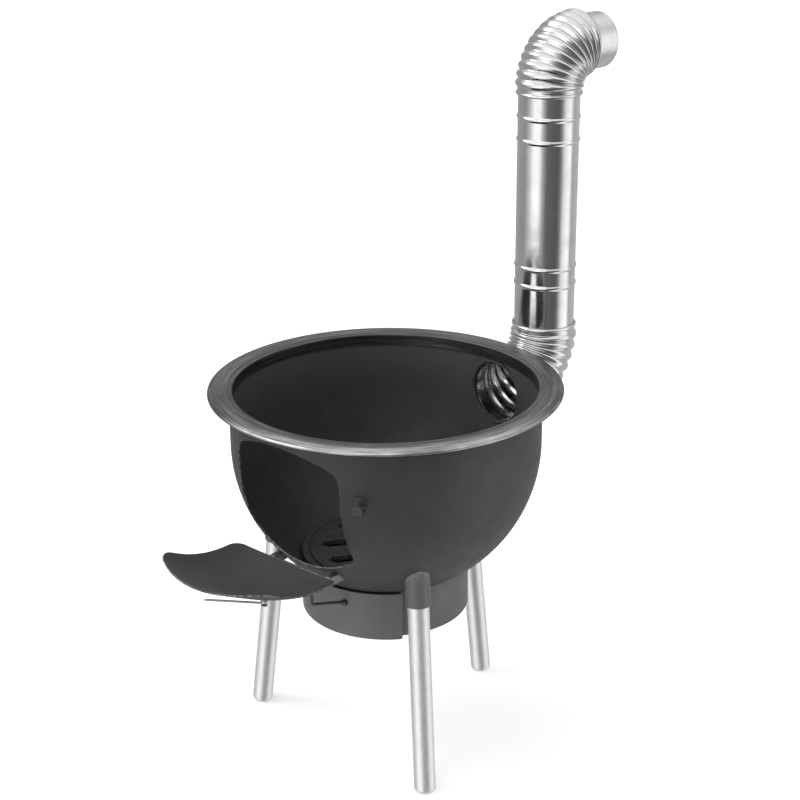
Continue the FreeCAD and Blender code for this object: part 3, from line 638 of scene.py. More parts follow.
class Look(Nodes):
    """A node material built step by step."""

    def __init__(self, name):
        self.material = bpy.data.materials.new(name)
        self.material.use_nodes = True
        super().__init__(self.material.node_tree)
        self.shader = self.tree.nodes["Principled BSDF"]
        self.place = self.add("ShaderNodeTexCoord").outputs["Object"]

    def done(self, **inputs):
        """The material, with the shader's inputs set; underscores stand for spaces."""
        for key, value in inputs.items():
            self.feed(self.shader.inputs[key.replace("_", " ")], value)
        return self.material

    def noise(self, scale, detail=4, roughness=0.55, place=None, distortion=0.0):
        """Noise from 0 to 1; the scale is in waves per metre."""
        inputs = {"Scale": scale, "Detail": detail, "Roughness": roughness, "Distortion": distortion}
        inputs["Vector"] = place or self.place
        return self.add("ShaderNodeTexNoise", inputs).outputs["Fac"]

    def stretched(self, x, y, z, place=None):
        """Coordinates scaled along each axis, for streaks."""
        inputs = {"Vector": place or self.place, "Scale": (x, y, z)}
        return self.add("ShaderNodeMapping", inputs).outputs["Vector"]

    def stain(self, base, mask, low, high, share, colour):
        """Base with a share of a colour where the mask passes from low to high."""
        return self.blend(self.span(mask, low, high, 0.0, share), base, colour)

    def wear(self, threshold=0.45):
        """Mask of rubbed edges, broken up by noise."""
        edge = self.add("ShaderNodeAttribute", attribute_name="edge_wear").outputs["Fac"]
        broken = self.math("MULTIPLY", edge, self.noise(260.0, 5, 0.7))
        return self.span(broken, threshold, threshold + 0.14)

    def bump(self, height, strength, distance, normal=None):
        """Bumped normal; the distance is in metres."""
        inputs = {"Height": height, "Strength": strength, "Distance": distance}
        if normal is not None:
            inputs["Normal"] = normal
        return self.add("ShaderNodeBump", inputs).outputs["Normal"]


def grey(level, tint=0.0):
    """Near-neutral colour; a positive tint is cooler."""
    return (level * (1 - tint), level, level * (1 + tint))


def heat_paint(name, level, gloss, wear_share, soot=0.0, painted_top_light=0.0):
    """Heat paint: fine orange peel, faint clouding, rubbed edges and, inside, soot and painted light that
    makes the upper part paler.
    """
    look = Look(name)
    cloud = look.noise(14.0, 5, 0.6)
    fine = look.noise(1500.0, 3, 0.6)
    base = look.blend(look.span(cloud, 0.35, 0.7), grey(level * 0.88, 0.01), grey(level * 1.14, 0.02))
    if soot > 0:
        smoke = look.span(look.noise(34.0, 6, 0.65, distortion=0.6), 0.42, 0.68)
        base = look.blend(look.math("MULTIPLY", smoke, soot), base, grey(level * 0.45))
    if painted_top_light > 0:
        # Painted light: the inside is made paler towards its top, where more light falls in.
        height = look.add("ShaderNodeSeparateXYZ", {"Vector": look.place}).outputs["Z"]
        base = look.stain(base, height, -0.11, -0.01, painted_top_light, grey(level * 3))
    specks = look.span(look.noise(900.0, 2, 0.5), 0.72, 0.78)
    base = look.blend(look.math("MULTIPLY", specks, 0.12), base, grey(level * 3))
    wear_and_sheen = look.math("MULTIPLY", look.wear(), wear_share)
    base = look.blend(wear_and_sheen, base, grey(0.32, 0.01))
    rough = look.span(look.noise(60.0, 6, 0.7), 0.3, 0.7, gloss - 0.07, gloss + 0.10)
    peel = look.bump(look.noise(420.0, 2, 0.4), 0.10, 0.0006)
    return look.done(Base_Color=base, Roughness=rough, Metallic=look.math("MULTIPLY", wear_and_sheen, 0.8),
                     Normal=look.bump(fine, 0.16, 0.0002, peel), Specular_IOR_Level=0.45)


def spun_steel(name, level):
    """Rim steel: fine rings round the upright axis, heat-darkened patches, short scratches, a darker band
    along the inner edge and a painted sheen on the outer band that faces the camera.
    """
    look = Look(name)
    parts = look.add("ShaderNodeSeparateXYZ", {"Vector": look.place}).outputs
    flat = look.add("ShaderNodeCombineXYZ", {"X": parts["X"], "Y": parts["Y"]}).outputs[0]
    radius = look.add("ShaderNodeVectorMath", {0: flat}, operation="LENGTH").outputs["Value"]
    across = look.math("ADD", radius, parts["Z"])
    round_place = look.add("ShaderNodeCombineXYZ", {"X": across, "Y": parts["X"], "Z": parts["Y"]}).outputs[0]
    rings = look.noise(1.0, 4, 0.65, look.stretched(2600, 55, 55, round_place))
    broad = look.noise(1.0, 3, 0.6, look.stretched(420, 18, 18, round_place))
    nicks = look.noise(1.0, 5, 0.7, look.stretched(900, 360, 360, round_place))
    heat = look.noise(16.0, 4, 0.6)
    base = look.blend(look.span(rings, 0.3, 0.7), grey(level * 0.55), grey(level * 1.25, 0.01))
    base = look.stain(base, broad, 0.46, 0.62, 0.8, grey(level * 0.3))
    base = look.stain(base, broad, 0.44, 0.34, 0.5, grey(level * 2.6))
    base = look.stain(base, heat, 0.5, 0.75, 0.45, grey(level * 0.4))
    # Painted sheen: the outer band on the side facing the camera is lightened towards pale grey, standing in
    # for a reflection of the lights, broken up by the streaks.
    turn = math.radians(CAMERA_TURN_DEG)
    front = look.math("SUBTRACT", look.math("MULTIPLY", parts["X"], math.sin(turn)),
                      look.math("MULTIPLY", parts["Y"], math.cos(turn)))
    wear_and_sheen = look.math("MULTIPLY", look.span(front, 0.07, 0.16), look.span(radius, 0.156, 0.164))
    base = look.blend(look.math("MULTIPLY", wear_and_sheen, look.span(broad, 0.35, 0.6, 1.0, 0.25)), base, grey(0.72))
    base = look.stain(base, nicks, 0.62, 0.72, 0.5, grey(0.5))
    base = look.stain(base, radius, 0.155, 0.150, 0.6, grey(level * 0.3))
    return look.done(Base_Color=base, Roughness=look.span(rings, 0.2, 0.8, 0.24, 0.46), Metallic=0.85,
                     Normal=look.bump(rings, 0.25, 0.0003, look.bump(broad, 0.2, 0.0008)))


def polished_sheet(name, level, rough_low, rough_high, streaks_per_metre):
    """Thin polished stainless sheet: soft dents, rolling streaks, smudges and hairline scratches."""
    look = Look(name)
    streaks = look.noise(1.0, 4, 0.6, look.stretched(*streaks_per_metre))
    smudge = look.noise(28.0, 5, 0.65, distortion=0.4)
    hair = look.noise(1.0, 2, 0.5, look.stretched(2400, 2400, 90))
    base = look.blend(look.span(smudge, 0.35, 0.75), grey(level, 0.008), grey(level * 0.82, 0.02))
    base = look.stain(base, streaks, 0.55, 0.8, 0.35, grey(level * 0.6, 0.01))
    rough = look.math("ADD", look.span(smudge, 0.3, 0.75, rough_low, rough_high),
                      look.span(hair, 0.6, 0.8, 0.0, 0.10))
    dents = look.bump(look.noise(26.0, 2, 0.4), 0.35, 0.0012)
    ripple = look.bump(look.noise(120.0, 2, 0.5), 0.12, 0.0004, dents)
    return look.done(Base_Color=base, Roughness=rough, Metallic=1.0,
                     Normal=look.bump(streaks, 0.06, 0.0002, ripple))


def satin_metal(name, level, roughness, lines_per_metre=(700, 700, 700)):
    """Satin tube or hardware: fine drawn lines and faint stains."""
    look = Look(name)
    lines = look.noise(1.0, 4, 0.6, look.stretched(*lines_per_metre))
    stain = look.noise(45.0, 5, 0.65)
    base = look.blend(look.span(lines, 0.3, 0.7), grey(level * 0.86), grey(min(level * 1.06, 0.97)))
    base = look.stain(base, stain, 0.55, 0.8, 0.3, grey(level * 0.72))
    rough = look.span(lines, 0.2, 0.8, roughness - 0.05, roughness + 0.10)
    return look.done(Base_Color=base, Roughness=rough, Metallic=0.92,
                     Normal=look.bump(lines, 0.12, 0.0002, look.bump(stain, 0.06, 0.0005)))


def cast_iron(name, level):
    """Rough casting: sand grain, lumps, pale ash dust and worn edges."""
    look = Look(name)
    sand = look.noise(700.0, 6, 0.7)
    lumps = look.noise(120.0, 4, 0.6)
    dust = look.noise(48.0, 5, 0.7)
    base = look.blend(look.span(lumps, 0.3, 0.7), grey(level * 0.7), grey(level * 1.25, 0.01))
    base = look.stain(base, dust, 0.55, 0.75, 0.25, grey(level * 2.4))
    base = look.blend(look.math("MULTIPLY", look.wear(0.5), 0.35), base, grey(0.2))
    return look.done(Base_Color=base, Roughness=look.span(sand, 0.3, 0.7, 0.55, 0.82), Metallic=0.35,
                     Normal=look.bump(sand, 0.5, 0.0005, look.bump(lumps, 0.4, 0.0010)))


# Each look is a material and the record's slot it belongs to
LOOKS = {
    "hearth": (heat_paint("hearth_paint", 0.030, 0.50, 0.45), "hearth_paint"),
    # Inside of the bowl: soot, and painted light that pales its upper part.
    "hearth_inside": (heat_paint("hearth_inside_paint", 0.020, 0.56, 0.45, 0.7, 0.8), "hearth_paint"),
    "door": (heat_paint("door_paint", 0.034, 0.55, 0.5), "door_paint"),
    "door_inside": (heat_paint("door_inside_paint", 0.030, 0.58, 0.5, 0.35), "door_paint"),
    "drum": (heat_paint("drum_paint", 0.095, 0.46, 0.4), "drum_paint"),
    "tray": (heat_paint("tray_paint", 0.02, 0.6, 0.4, 0.6), "drum_paint"),
    "socket": (heat_paint("socket_paint", 0.085, 0.42, 0.4), "socket_paint"),
    "rim": (spun_steel("rim_spun_steel", 0.15), "rim_steel"),
    "grate": (cast_iron("grate_cast_iron", 0.035), "grate_iron"),
    "leg": (satin_metal("leg_satin_aluminium", 0.84, 0.48, (1700, 1700, 60)), "leg_metal"),
    "hinge": (satin_metal("hinge_steel", 0.30, 0.34), "hardware_steel"),
    "zinc": (satin_metal("zinc_plated_steel", 0.62, 0.28), "hardware_steel"),
    "dark": (satin_metal("blackened_steel", 0.10, 0.38), "dark_steel"),
    "pipe": (polished_sheet("pipe_polished_steel", 0.66, 0.11, 0.24, (260, 260, 6)), "chimney_steel"),
    "elbow": (polished_sheet("elbow_polished_steel", 0.64, 0.13, 0.26, (60, 60, 60)), "chimney_steel"),
}


# Hearth

def opening_side(apex_z, corner_z, corner_r, half, sign):
    """Right half of the opening's top (sign 1) or bottom (sign -1) edge in (x, z), from the middle out."""
    steps = 16
    rise = abs(apex_z - corner_z)
    arc_r = (half ** 2 + rise ** 2) / (2 * rise)
    arc_z = apex_z - sign * arc_r
    corner_x = half - corner_r
    level = math.sqrt((arc_r - corner_r) ** 2 - corner_x ** 2)
    join = math.atan2(corner_x, level)
    side = []
    for k in range(steps + 1):
        angle = join * k / steps
        side.append((arc_r * math.sin(angle), arc_z + sign * arc_r * math.cos(angle)))
    for k in range(1, steps + 1):
        angle = join + (math.pi / 2 - join) * k / steps
        z = arc_z + sign * (level + corner_r * math.cos(angle))
        side.append((corner_x + corner_r * math.sin(angle), z))
    return side


def opening_outline(margin):
    """Outline (x, z) of the fuel opening, grown by a margin."""
    half = OPENING_HALF_WIDTH + margin
    top = opening_side(OPENING_TOP_Z + margin, OPENING_TOP_CORNER_Z + margin, TOP_CORNER_R + margin, half, 1)
    bottom = opening_side(OPENING_BOTTOM_Z - margin, OPENING_BOTTOM_CORNER_Z - margin,
                          BOTTOM_CORNER_R + margin, half, -1)
    right = top + bottom[::-1]
    left = [(-x, z) for x, z in right[::-1] if x > 1e-9]
    return densify(right + left, 3.0)


def make_bowl():
    """Bowl sheet with the fuel opening and the flue hole."""
    top_z = BOWL_TOP_Z
    full_turn = 2 * math.pi * BOWL_R
    bottom_v = top_z - BALL_Z + BOWL_R * math.acos(BOWL_HOLE_R / BOWL_R) - SHEET_EDGE
    left = -full_turn / 4
    border = [(left, 0), (left + full_turn, 0), (left + full_turn, bottom_v), (left, bottom_v)]
    opening = [onto_dish(x, z, BOWL_R, top_z) for x, z in opening_outline(SHEET_EDGE)]
    hole = arc((0, FLUE_Z), COLLAR_R + SHEET_EDGE - 0.1, 0, 360, 72)[:-1]
    hole = [onto_dish(-x, z, BOWL_R, top_z) for x, z in hole]
    flue = [(BOWL_R * FLUE_AZIMUTH - u, v) for u, v in hole]
    form = sheet([border, opening, flue], dish(BOWL_R, top_z), BOWL_WALL, 5.0)
    add_piece("hearth_bowl", form, "stove_body", "bowl", "hearth", "hearth_inside")


def make_rim():
    """Pressed rim: skirt, rounded lip, grooved land and its slight fall towards a small rolled bead."""
    bead_r = RIM_R - BEAD_R
    bead = arc((bead_r, -BEAD_R - BEAD_DROP), BEAD_R, 150, 300, 32)
    fall = []
    for k in range(1, 9):
        share = k / 8
        fall.append((bead_r + (LAND_R - bead_r) * share, -BEAD_DROP * (1 - share) ** 2))
    outline = [(LIP_R, SKIRT_LOW_Z), (SKIRT_R, SKIRT_LOW_Z), (SKIRT_R, -RIM_SHEET)] + bead + fall
    outline += [*RIM_GROOVE, (LIP_R, 0.0)]
    rounds = [0.5, 0.5, 1.0] + [0.0] * len(bead + fall) + [0.3] * len(RIM_GROOVE) + [1.5]
    profile = round_corners(outline, rounds, 6)
    add_piece("rolled_rim", lathe(densify(profile, 3.0), segments=288), "stove_body", "rim_ring", "rim")


def grate_slots():
    """Outlines of the grate's pointed slots before it is turned."""
    slots = []
    half_width = SLOT_WIDTH / 2 + GRATE_EDGE
    for row in (-1.5, -0.5, 0.5, 1.5):
        offset = row * SLOT_PITCH
        far = math.sqrt(SLOT_FIELD_R ** 2 - offset ** 2)
        near = GRATE_RIB / 2 - GRATE_EDGE
        for side in (-1, 1):
            outline = [(side * near, offset - half_width), (side * (far - half_width), offset - half_width),
                       (side * far, offset), (side * (far - half_width), offset + half_width),
                       (side * near, offset + half_width)]
            slots.append(round_corners(outline, [1.6, 1.2, 1.6, 1.2, 1.6]))
    return slots


def make_grate():
    """Cast disc with pointed slots inside a ring with a shallow groove."""
    radius = GRATE_HIGH.x
    thick = GRATE_HIGH.z - GRATE_LOW.z
    top = GRATE_HIGH.z
    turn = math.radians(GRATE_TURN_DEG)

    def surface(u, v):
        x, y = u * math.cos(turn) - v * math.sin(turn), u * math.sin(turn) + v * math.cos(turn)
        return (x, y, top), (0, 0, 1)

    disc = arc((0, 0), GRATE_DISC_R - GRATE_EDGE, 0, 360, 160)[:-1]
    plate = sheet([disc] + grate_slots(), surface, thick, 3.2, GRATE_EDGE)
    inner_r, groove_r, groove_z = GRATE_RING_R, GRATE_GROOVE_R, -GRATE_GROOVE_DEPTH
    corners = [(inner_r, -thick), (radius, -thick), (radius, 0), (groove_r, 0), (groove_r, groove_z),
               (inner_r, groove_z)]
    ring = lathe(round_corners(corners, [0, 1.2, 1.4, 0.7, 0.5, 0]), Matrix.Translation((0, 0, top)), 160)
    add_piece("cast_grate", plate + ring, "grate", "grate", "grate")


# Fuel door and its fittings

def swung():
    """Move that carries a closed door's form to the door at rest, fully open."""
    turn = Matrix.Rotation(math.radians(DOOR_OPEN_DEG), 4, "X")
    return Matrix.Translation(HINGE) @ turn @ Matrix.Translation(-HINGE)


def make_door():
    """Door sheet."""
    top_z = OPENING_TOP_Z + DOOR_MARGIN
    edge = 0.5
    outline = [onto_dish(x, z, DOOR_R, top_z) for x, z in opening_outline(DOOR_MARGIN - edge)]
    form = sheet([outline], dish(DOOR_R, top_z), DOOR_SHEET, 4.0, edge)
    add_piece("fuel_door_sheet", form.moved(swung()), "fuel_door", "fuel_door", "door", "door_inside")


def make_straps():
    """Hinge straps: curled round the axle at the bottom and laid on the door above."""
    outer_r = DOOR_R + STRAP_PROUD
    front_y = HINGE.y - KNUCKLE_R
    path = [(0, y, z) for y, z in arc((HINGE.y, HINGE.z), KNUCKLE_R, 75, -255, 24)]
    meet = math.asin(math.sqrt(outer_r ** 2 - front_y ** 2) / outer_r)
    top = math.asin((BALL_Z - STRAP_TOP_Z) / outer_r)
    for k in range(13):
        dip = meet + (top - meet) * k / 12
        path.append((0, -outer_r * math.cos(dip), BALL_Z - outer_r * math.sin(dip)))
    rounds = [0.4, 2.5, 2.5, 0.4]
    left, right = (strip(path, (-1, 0, 0), low, low + STRAP_WIDTH, STRAP_SHEET, 1.6, 0.45, rounds)
                   for low in STRAP_STARTS)
    pair = (left + right).moved(swung())
    add_piece("door_hinge_strap_pair", pair, "fuel_door", "door_hinge_straps", "hinge")


def make_lugs():
    """Eyes on the bowl that carry the axle, and the axle with its heads."""
    edge = 0.7
    radius = LUG_R - edge
    outline = [(LUG_TOP_ROOT_Y, HINGE.z + radius), *arc((HINGE.y, HINGE.z), radius, 90, 180, 16),
               (LUG_BOTTOM_ROOT_Y, HINGE.z - radius)]
    forms = []
    for side in (-1, 1):
        def surface(u, v):
            return (side * LUG_OUTER_X, u, v), (side, 0, 0)

        forms.append(sheet([outline], surface, LUG_WIDTH, 2.0, edge))
    add_piece("hinge_lug_pair", forms[0] + forms[1], "stove_body", "bowl_hinge_lugs", "hinge")
    end = AXLE_HALF + AXLE_HEAD_HEIGHT
    corners = [(AXLE_HEAD_R, 0), (AXLE_HEAD_R, AXLE_HEAD_HEIGHT), (AXLE_R, AXLE_HEAD_HEIGHT), (AXLE_R, end)]
    pin = [(0, 0)] + round_corners(corners, [0.9, 0.3, 0.2, 0], 5)[:-1] + [(AXLE_R, end), (0, end)]
    left, right = (lathe(pin, towards((side * end, HINGE.y, HINGE.z), RIGHT * -side), 40) for side in (-1, 1))
    add_piece("hinge_axle", left + right, "stove_body", "door_hinge_pin", "zinc")


def latch_place(offset):
    """Placement on the latch's axis at a distance outward from the middle of its eye."""
    return towards(LATCH_PIVOT + LATCH_AXIS * offset, LATCH_AXIS)


def make_latch():
    """Washer, rivet and the lever that turns on it."""
    washer = block_outline((WASHER_BORE_R, 0), (WASHER_R, WASHER_HEIGHT), 0.2)
    washer = lathe(washer, latch_place(WASHER_START), 48)
    add_piece("latch_washer_ring", washer, "fuel_door", "latch_washer", "zinc")
    shank = [(0, 0), (RIVET_TAIL_R, 0), (RIVET_TAIL_R, RIVET_TAIL_END), (RIVET_R, RIVET_TAIL_END),
             (RIVET_R, RIVET_HEAD_START), (RIVET_HEAD_R, RIVET_HEAD_START), (RIVET_HEAD_R, RIVET_DOME_START)]
    rivet = round_corners(shank, [0, 0.5, 0.3, 0.1, 0.1, 0.3, 0.1])
    for k in range(1, 11):
        angle = math.pi / 2 * k / 10
        height = RIVET_DOME_START + RIVET_DOME_HEIGHT * math.sin(angle)
        rivet.append((RIVET_HEAD_R * math.cos(angle), height))
    rivet = lathe(rivet, latch_place(RIVET_START), 48)
    add_piece("latch_rivet_domed", rivet, "fuel_door", "latch_rivet", "dark")
    eye = block_outline((EYE_BORE_R, 0), (EYE_R, EYE_HEIGHT), 0.5)
    eye = lathe(eye, latch_place(-EYE_HEIGHT / 2), 48)
    opening = math.radians(DOOR_OPEN_DEG)
    closed_normal = Matrix.Rotation(-opening, 3, "X") @ LATCH_AXIS
    direction = Matrix.Rotation(math.radians(LATCH_TILT_DEG), 3, closed_normal) @ UP
    direction = Matrix.Rotation(opening, 3, "X") @ direction
    path = [LATCH_PIVOT + direction * d for d in (3.0, 18.0, 33.0, LATCH_LENGTH)]
    add_piece("latch_lever_rod", eye + rod(path, LATCH_WIRE_R), "door_latch", "latch_lever", "zinc")


def make_keeper():
    """Hook that holds the latch: a strip bent outward and up."""
    azimuth = math.radians(KEEPER_AZIMUTH_DEG)
    along = Vector((math.cos(azimuth), math.sin(azimuth), 0))
    base_r, lip_r = BOWL_R + 0.1, BOWL_R + KEEPER_REACH - 0.1
    floor_z = KEEPER_FLOOR_Z
    corners = [(base_r, KEEPER_TOP_Z), (base_r, floor_z), (lip_r, floor_z), (lip_r, KEEPER_LIP_Z)]
    path = [outward_at(azimuth) * r + UP * z for r, z in bend_path(corners, 2.4)]
    half = KEEPER_WIDTH / 2
    form = strip(path, -along, -half, half, 1.45, 1.4, 0.4, [0.6, 2.0, 2.0, 0.6])
    add_piece("latch_keeper_hook", form, "stove_body", "latch_keeper", "dark")


# Legs

def leg_place(azimuth_deg, z):
    """Placement on a leg's axis at a height, with Z up the leg."""
    slope = (FOOT_RADIUS - LEG_TOP_R) / (LEG_TOP_REFERENCE_Z - FLOOR_Z)
    outward = outward_at(math.radians(azimuth_deg))
    place = outward * (FOOT_RADIUS - slope * (z - FLOOR_Z)) + UP * z
    return towards(place, UP - outward * slope)


def make_leg(place, azimuth_deg):
    """Tube with a rounded foot that is flat on the floor."""
    low = leg_place(azimuth_deg, FLOOR_Z - 0.6)
    inner_r, plug = LEG_R - LEG_SHEET, LEG_LENGTH - LEG_PLUG_DEPTH
    corners = [(0, 0), (LEG_R, 0), (LEG_R, LEG_LENGTH), (inner_r, LEG_LENGTH), (inner_r, plug), (0, plug)]
    form = lathe(round_corners(corners, [0, FOOT_ROUND, 0.5, 0.4, 0.4, 0], 8), low, 96)
    sunk = form.points[:, 2] < FLOOR_Z
    form.points[sunk, 2] = FLOOR_Z
    form.normals[sunk] = (0, 0, -1)
    add_piece("leg_tube_" + place, form, "stove_body", "leg_" + place, "leg")


def make_socket(place, azimuth_deg):
    """Sleeve trimmed to the ball of the bowl."""
    low = leg_place(azimuth_deg, SOCKET_LOW_Z)
    height = 40.0
    keep = 3.0
    form = lathe(block_outline((SOCKET_BORE_R, 0), (SOCKET_R, height), [0.5, 0.8, 0, 0]), segments=96)
    back = low.inverted() @ Vector((0, 0, BALL_Z))
    flat = (form.points[:, 0] - back.x) ** 2 + (form.points[:, 1] - back.y) ** 2
    top = back.z - np.sqrt((BOWL_R - 0.5) ** 2 - flat)
    upper = form.points[:, 2] > keep
    form.points[upper, 2] = keep + (form.points[upper, 2] - keep) * (top[upper] - keep) / (height - keep)
    add_piece("leg_sleeve_" + place, form.moved(low), "stove_body", "leg_socket_" + place, "socket")


# Ash drum and drawer

def make_drum():
    """Drum wall, open in front, on a floor with a rounded edge."""
    edge = 0.5
    doorway = math.asin(DRUM_DOORWAY_HALF / DRUM_R) * DRUM_R
    top_z = BALL_Z - math.sqrt((BOWL_R - 0.4) ** 2 - DRUM_R ** 2)
    low = (doorway + edge, DRUM_LOW.z + edge)
    high = (2 * math.pi * DRUM_R - doorway - edge, top_z - edge)
    wall = sheet([block_outline(low, high, 1.0)], drum(DRUM_R), DRUM_SHEET, 5.0, edge)
    add_piece("ash_drum_wall", wall, "stove_body", "ash_drum", "drum", "tray")
    base_low, base_high = box_mm("ash_drum_base")
    profile = block_outline((0, base_low.z), (DRUM_R, base_high.z), [0, 0.7, 0.5, 0])
    floor = lathe(densify(profile[:-1], 8.0)[:-1] + [profile[-1]], segments=160)
    add_piece("ash_drum_floor", floor, "stove_body", "ash_drum_base", "drum")


def make_drawer():
    """Front plate and wire handle of the ash drawer."""
    edge = 0.6
    half = math.radians(FRONT_HALF_ANGLE_DEG) * FRONT_R - edge
    outline = block_outline((-half, FRONT_LOW.z + edge), (half, FRONT_HIGH.z - edge), 1.5)
    front = sheet([outline], drum(FRONT_R), FRONT_SHEET, 4.0, edge)
    add_piece("drawer_front_plate", front, "ash_drawer", "drawer_front", "drum", "tray")
    root_y = -math.sqrt(FRONT_R ** 2 - HANDLE_X ** 2) + 0.5
    low, high = box_mm("drawer_handle")
    tip_y = low.y + HANDLE_WIRE_R
    corners = [(root_y, HANDLE_ROOT_Z), (tip_y, HANDLE_CORNER_Z), (tip_y, high.z - HANDLE_WIRE_R)]
    handle = rod([(HANDLE_X, y, z) for y, z in bend_path(corners, 4.0, 8)], HANDLE_WIRE_R)
    nut = block_outline((0, 0), (NUT_R, NUT_HEIGHT), [0, 0.2, 0.7, 0])
    handle += lathe(nut, towards((HANDLE_X, root_y - 0.2, NUT_Z), -BACK), 24)
    add_piece("drawer_wire_handle", handle, "ash_drawer", "drawer_handle", "dark")


# Chimney

def tube_rows(rows):
    """Points and normals of a tube swept through rows of (y, z, rise in degrees, radius)."""
    points = []
    for y, z, rise, radius in rows:
        a = math.radians(rise)
        across = Vector((0, -math.sin(a), math.cos(a)))
        for k in range(TUBE_SEGMENTS):
            t = 2 * math.pi * k / TUBE_SEGMENTS
            points.append(Vector((0, y, z)) + (RIGHT * math.sin(t) + across * math.cos(t)) * radius)
    grid = np.array(points).reshape(len(rows), TUBE_SEGMENTS, 3)
    down = np.gradient(grid, axis=0)
    around = np.roll(grid, -1, axis=1) - np.roll(grid, 1, axis=1)
    return grid, unit_rows(np.cross(around, down).reshape(-1, 3))


def swept_tube(outer_rows, inner_rows, wear):
    """Closed thin tube from its outer rows, with their wear, and its inner rows; the ends are joined."""
    outer, outer_normals = tube_rows(outer_rows)
    inner, inner_normals = tube_rows(inner_rows[::-1])
    points = np.concatenate((outer, inner)).reshape(-1, 3)
    count = len(outer_rows) + len(inner_rows)
    worn = np.zeros((count, TUBE_SEGMENTS))
    worn[:len(outer_rows)] = np.array(wear)[:, None]
    faces = ring_faces(count, TUBE_SEGMENTS, count)
    return Form(points, np.concatenate((outer_normals, inner_normals)), worn.reshape(-1), faces)


def ridge(turn, heights):
    """Height of the corrugation, 0 to 1, after a number of ridges: broad ridges and narrow valleys."""
    return abs(math.sin(math.pi * turn)) ** 1.15 * heights[int(turn) % len(heights)]


def bend_rows(centre, bend_r, ridges, start_deg, end_deg, heights):
    """Rows and wear of a corrugated quarter bend round a centre (y, z)."""
    steps = ridges * 16
    side = 1 if end_deg > start_deg else -1
    rows, worn = [], []
    for step in range(steps + 1):
        rise = start_deg + (end_deg - start_deg) * step / steps
        a = math.radians(rise)
        high = ridge(step / 16, heights)
        rows.append((centre[0] + side * bend_r * math.sin(a), centre[1] - side * bend_r * math.cos(a), rise,
                     VALLEY_R + RIDGE_HEIGHT * high))
        worn.append(high)
    return rows, worn


def thinner(rows):
    """Inner rows that follow outer rows at the sheet's thickness."""
    return [(y, z, rise, radius - PIPE_SHEET) for y, z, rise, radius in rows]


def level_rows(start, length, steps, z, radius):
    """Rows of a level tube, both ends included."""
    return [(start + length * k / steps, z, 0, radius) for k in range(steps + 1)]


def rolled_sleeve(low_z, lip_on_top):
    """Outer rows, upward, of a socket with a rolled lip, and its inner rows."""
    outer_r = SLEEVE_BORE_R + PIPE_SHEET
    roll = 1.7
    lip_low = low_z + (SLEEVE_LENGTH - 2 * roll if lip_on_top else 0)
    lip = []
    for step in range(17):
        angle = math.pi * step / 16
        z = lip_low + roll * (1 - math.cos(angle))
        lip.append((PIPE_DISTANCE, z, 90, outer_r + (roll - 0.05) * math.sin(angle)))
    plain = [(PIPE_DISTANCE, low_z + up, 90, outer_r)
             for up in ((0.5, 1.5, 2.5) if lip_on_top else (4.2, 5.4, 6.6))]
    inner = [(PIPE_DISTANCE, low_z + SLEEVE_LENGTH * k / 3, 90, SLEEVE_BORE_R) for k in range(4)]
    return (plain + lip if lip_on_top else lip + plain), inner


def add_flue_piece(name, form, body, node, look):
    """Piece of a form that was made straight behind the bowl, turned to the chimney's azimuth."""
    add_piece(name, form.moved(Matrix.Rotation(FLUE_AZIMUTH - math.pi, 4, "Z")), body, node, look)


def make_collar():
    """Ring in the bowl's flue hole."""
    corners = block_outline((COLLAR_BORE_R, 0), (COLLAR_R, COLLAR_OUTER_Y - COLLAR_INNER_Y), 0.5)
    form = lathe(densify(corners, 3.0), towards((0, COLLAR_INNER_Y, FLUE_Z), BACK))
    add_flue_piece("flue_collar_ring", form, "stove_body", "flue_collar", "hearth")


def make_lower_elbow(heights):
    """Stub, corrugated bend and the sleeve that the pipe stands in."""
    top_z = FLUE_Z + LOWER_BEND_R
    bend_y = PIPE_DISTANCE - LOWER_BEND_R
    bend, worn = bend_rows((bend_y, top_z), LOWER_BEND_R, LOWER_RIDGES, 0, 90, heights)
    stub = level_rows(STUB_START_Y, bend_y - STUB_START_Y, 12, FLUE_Z, VALLEY_R)[:-1]
    sleeve, bore = rolled_sleeve(top_z, True)
    wear = [0] * len(stub) + worn + [0] * len(sleeve)
    form = swept_tube(stub + bend + sleeve, thinner(stub + bend) + bore, wear)
    add_flue_piece("lower_corrugated_elbow", form, "stove_body", "lower_elbow", "elbow")


def make_pipe():
    """Straight pipe with its beads."""
    low, high = PIPE_LOW.z, PIPE_HIGH.z
    inner_r = PIPE_R - PIPE_SHEET
    profile = [(inner_r, low), (PIPE_R - 0.2, low), (PIPE_R, low + 0.2)]
    z = low + 2.0
    while z < high - 1.0:
        near = min(abs(z - bead) for bead in PIPE_BEAD_HEIGHTS)
        swell = math.cos(math.pi / 2 * near / PIPE_BEAD_HALF) ** 1.4 if near < PIPE_BEAD_HALF else 0
        profile.append((PIPE_R + (PIPE_BEAD_PROUD - 0.05) * swell, z))
        z += 0.35 if near < PIPE_BEAD_HALF + 1 else 2.0
    profile += [(PIPE_R, high - 0.2), (PIPE_R - 0.2, high)]
    profile += [(inner_r, high + (low - high) * k / 24) for k in range(24)]
    form = lathe(profile, Matrix.Translation((0, PIPE_DISTANCE, 0)), 192)
    add_flue_piece("chimney_straight_pipe", form, "chimney", "chimney_pipe", "pipe")


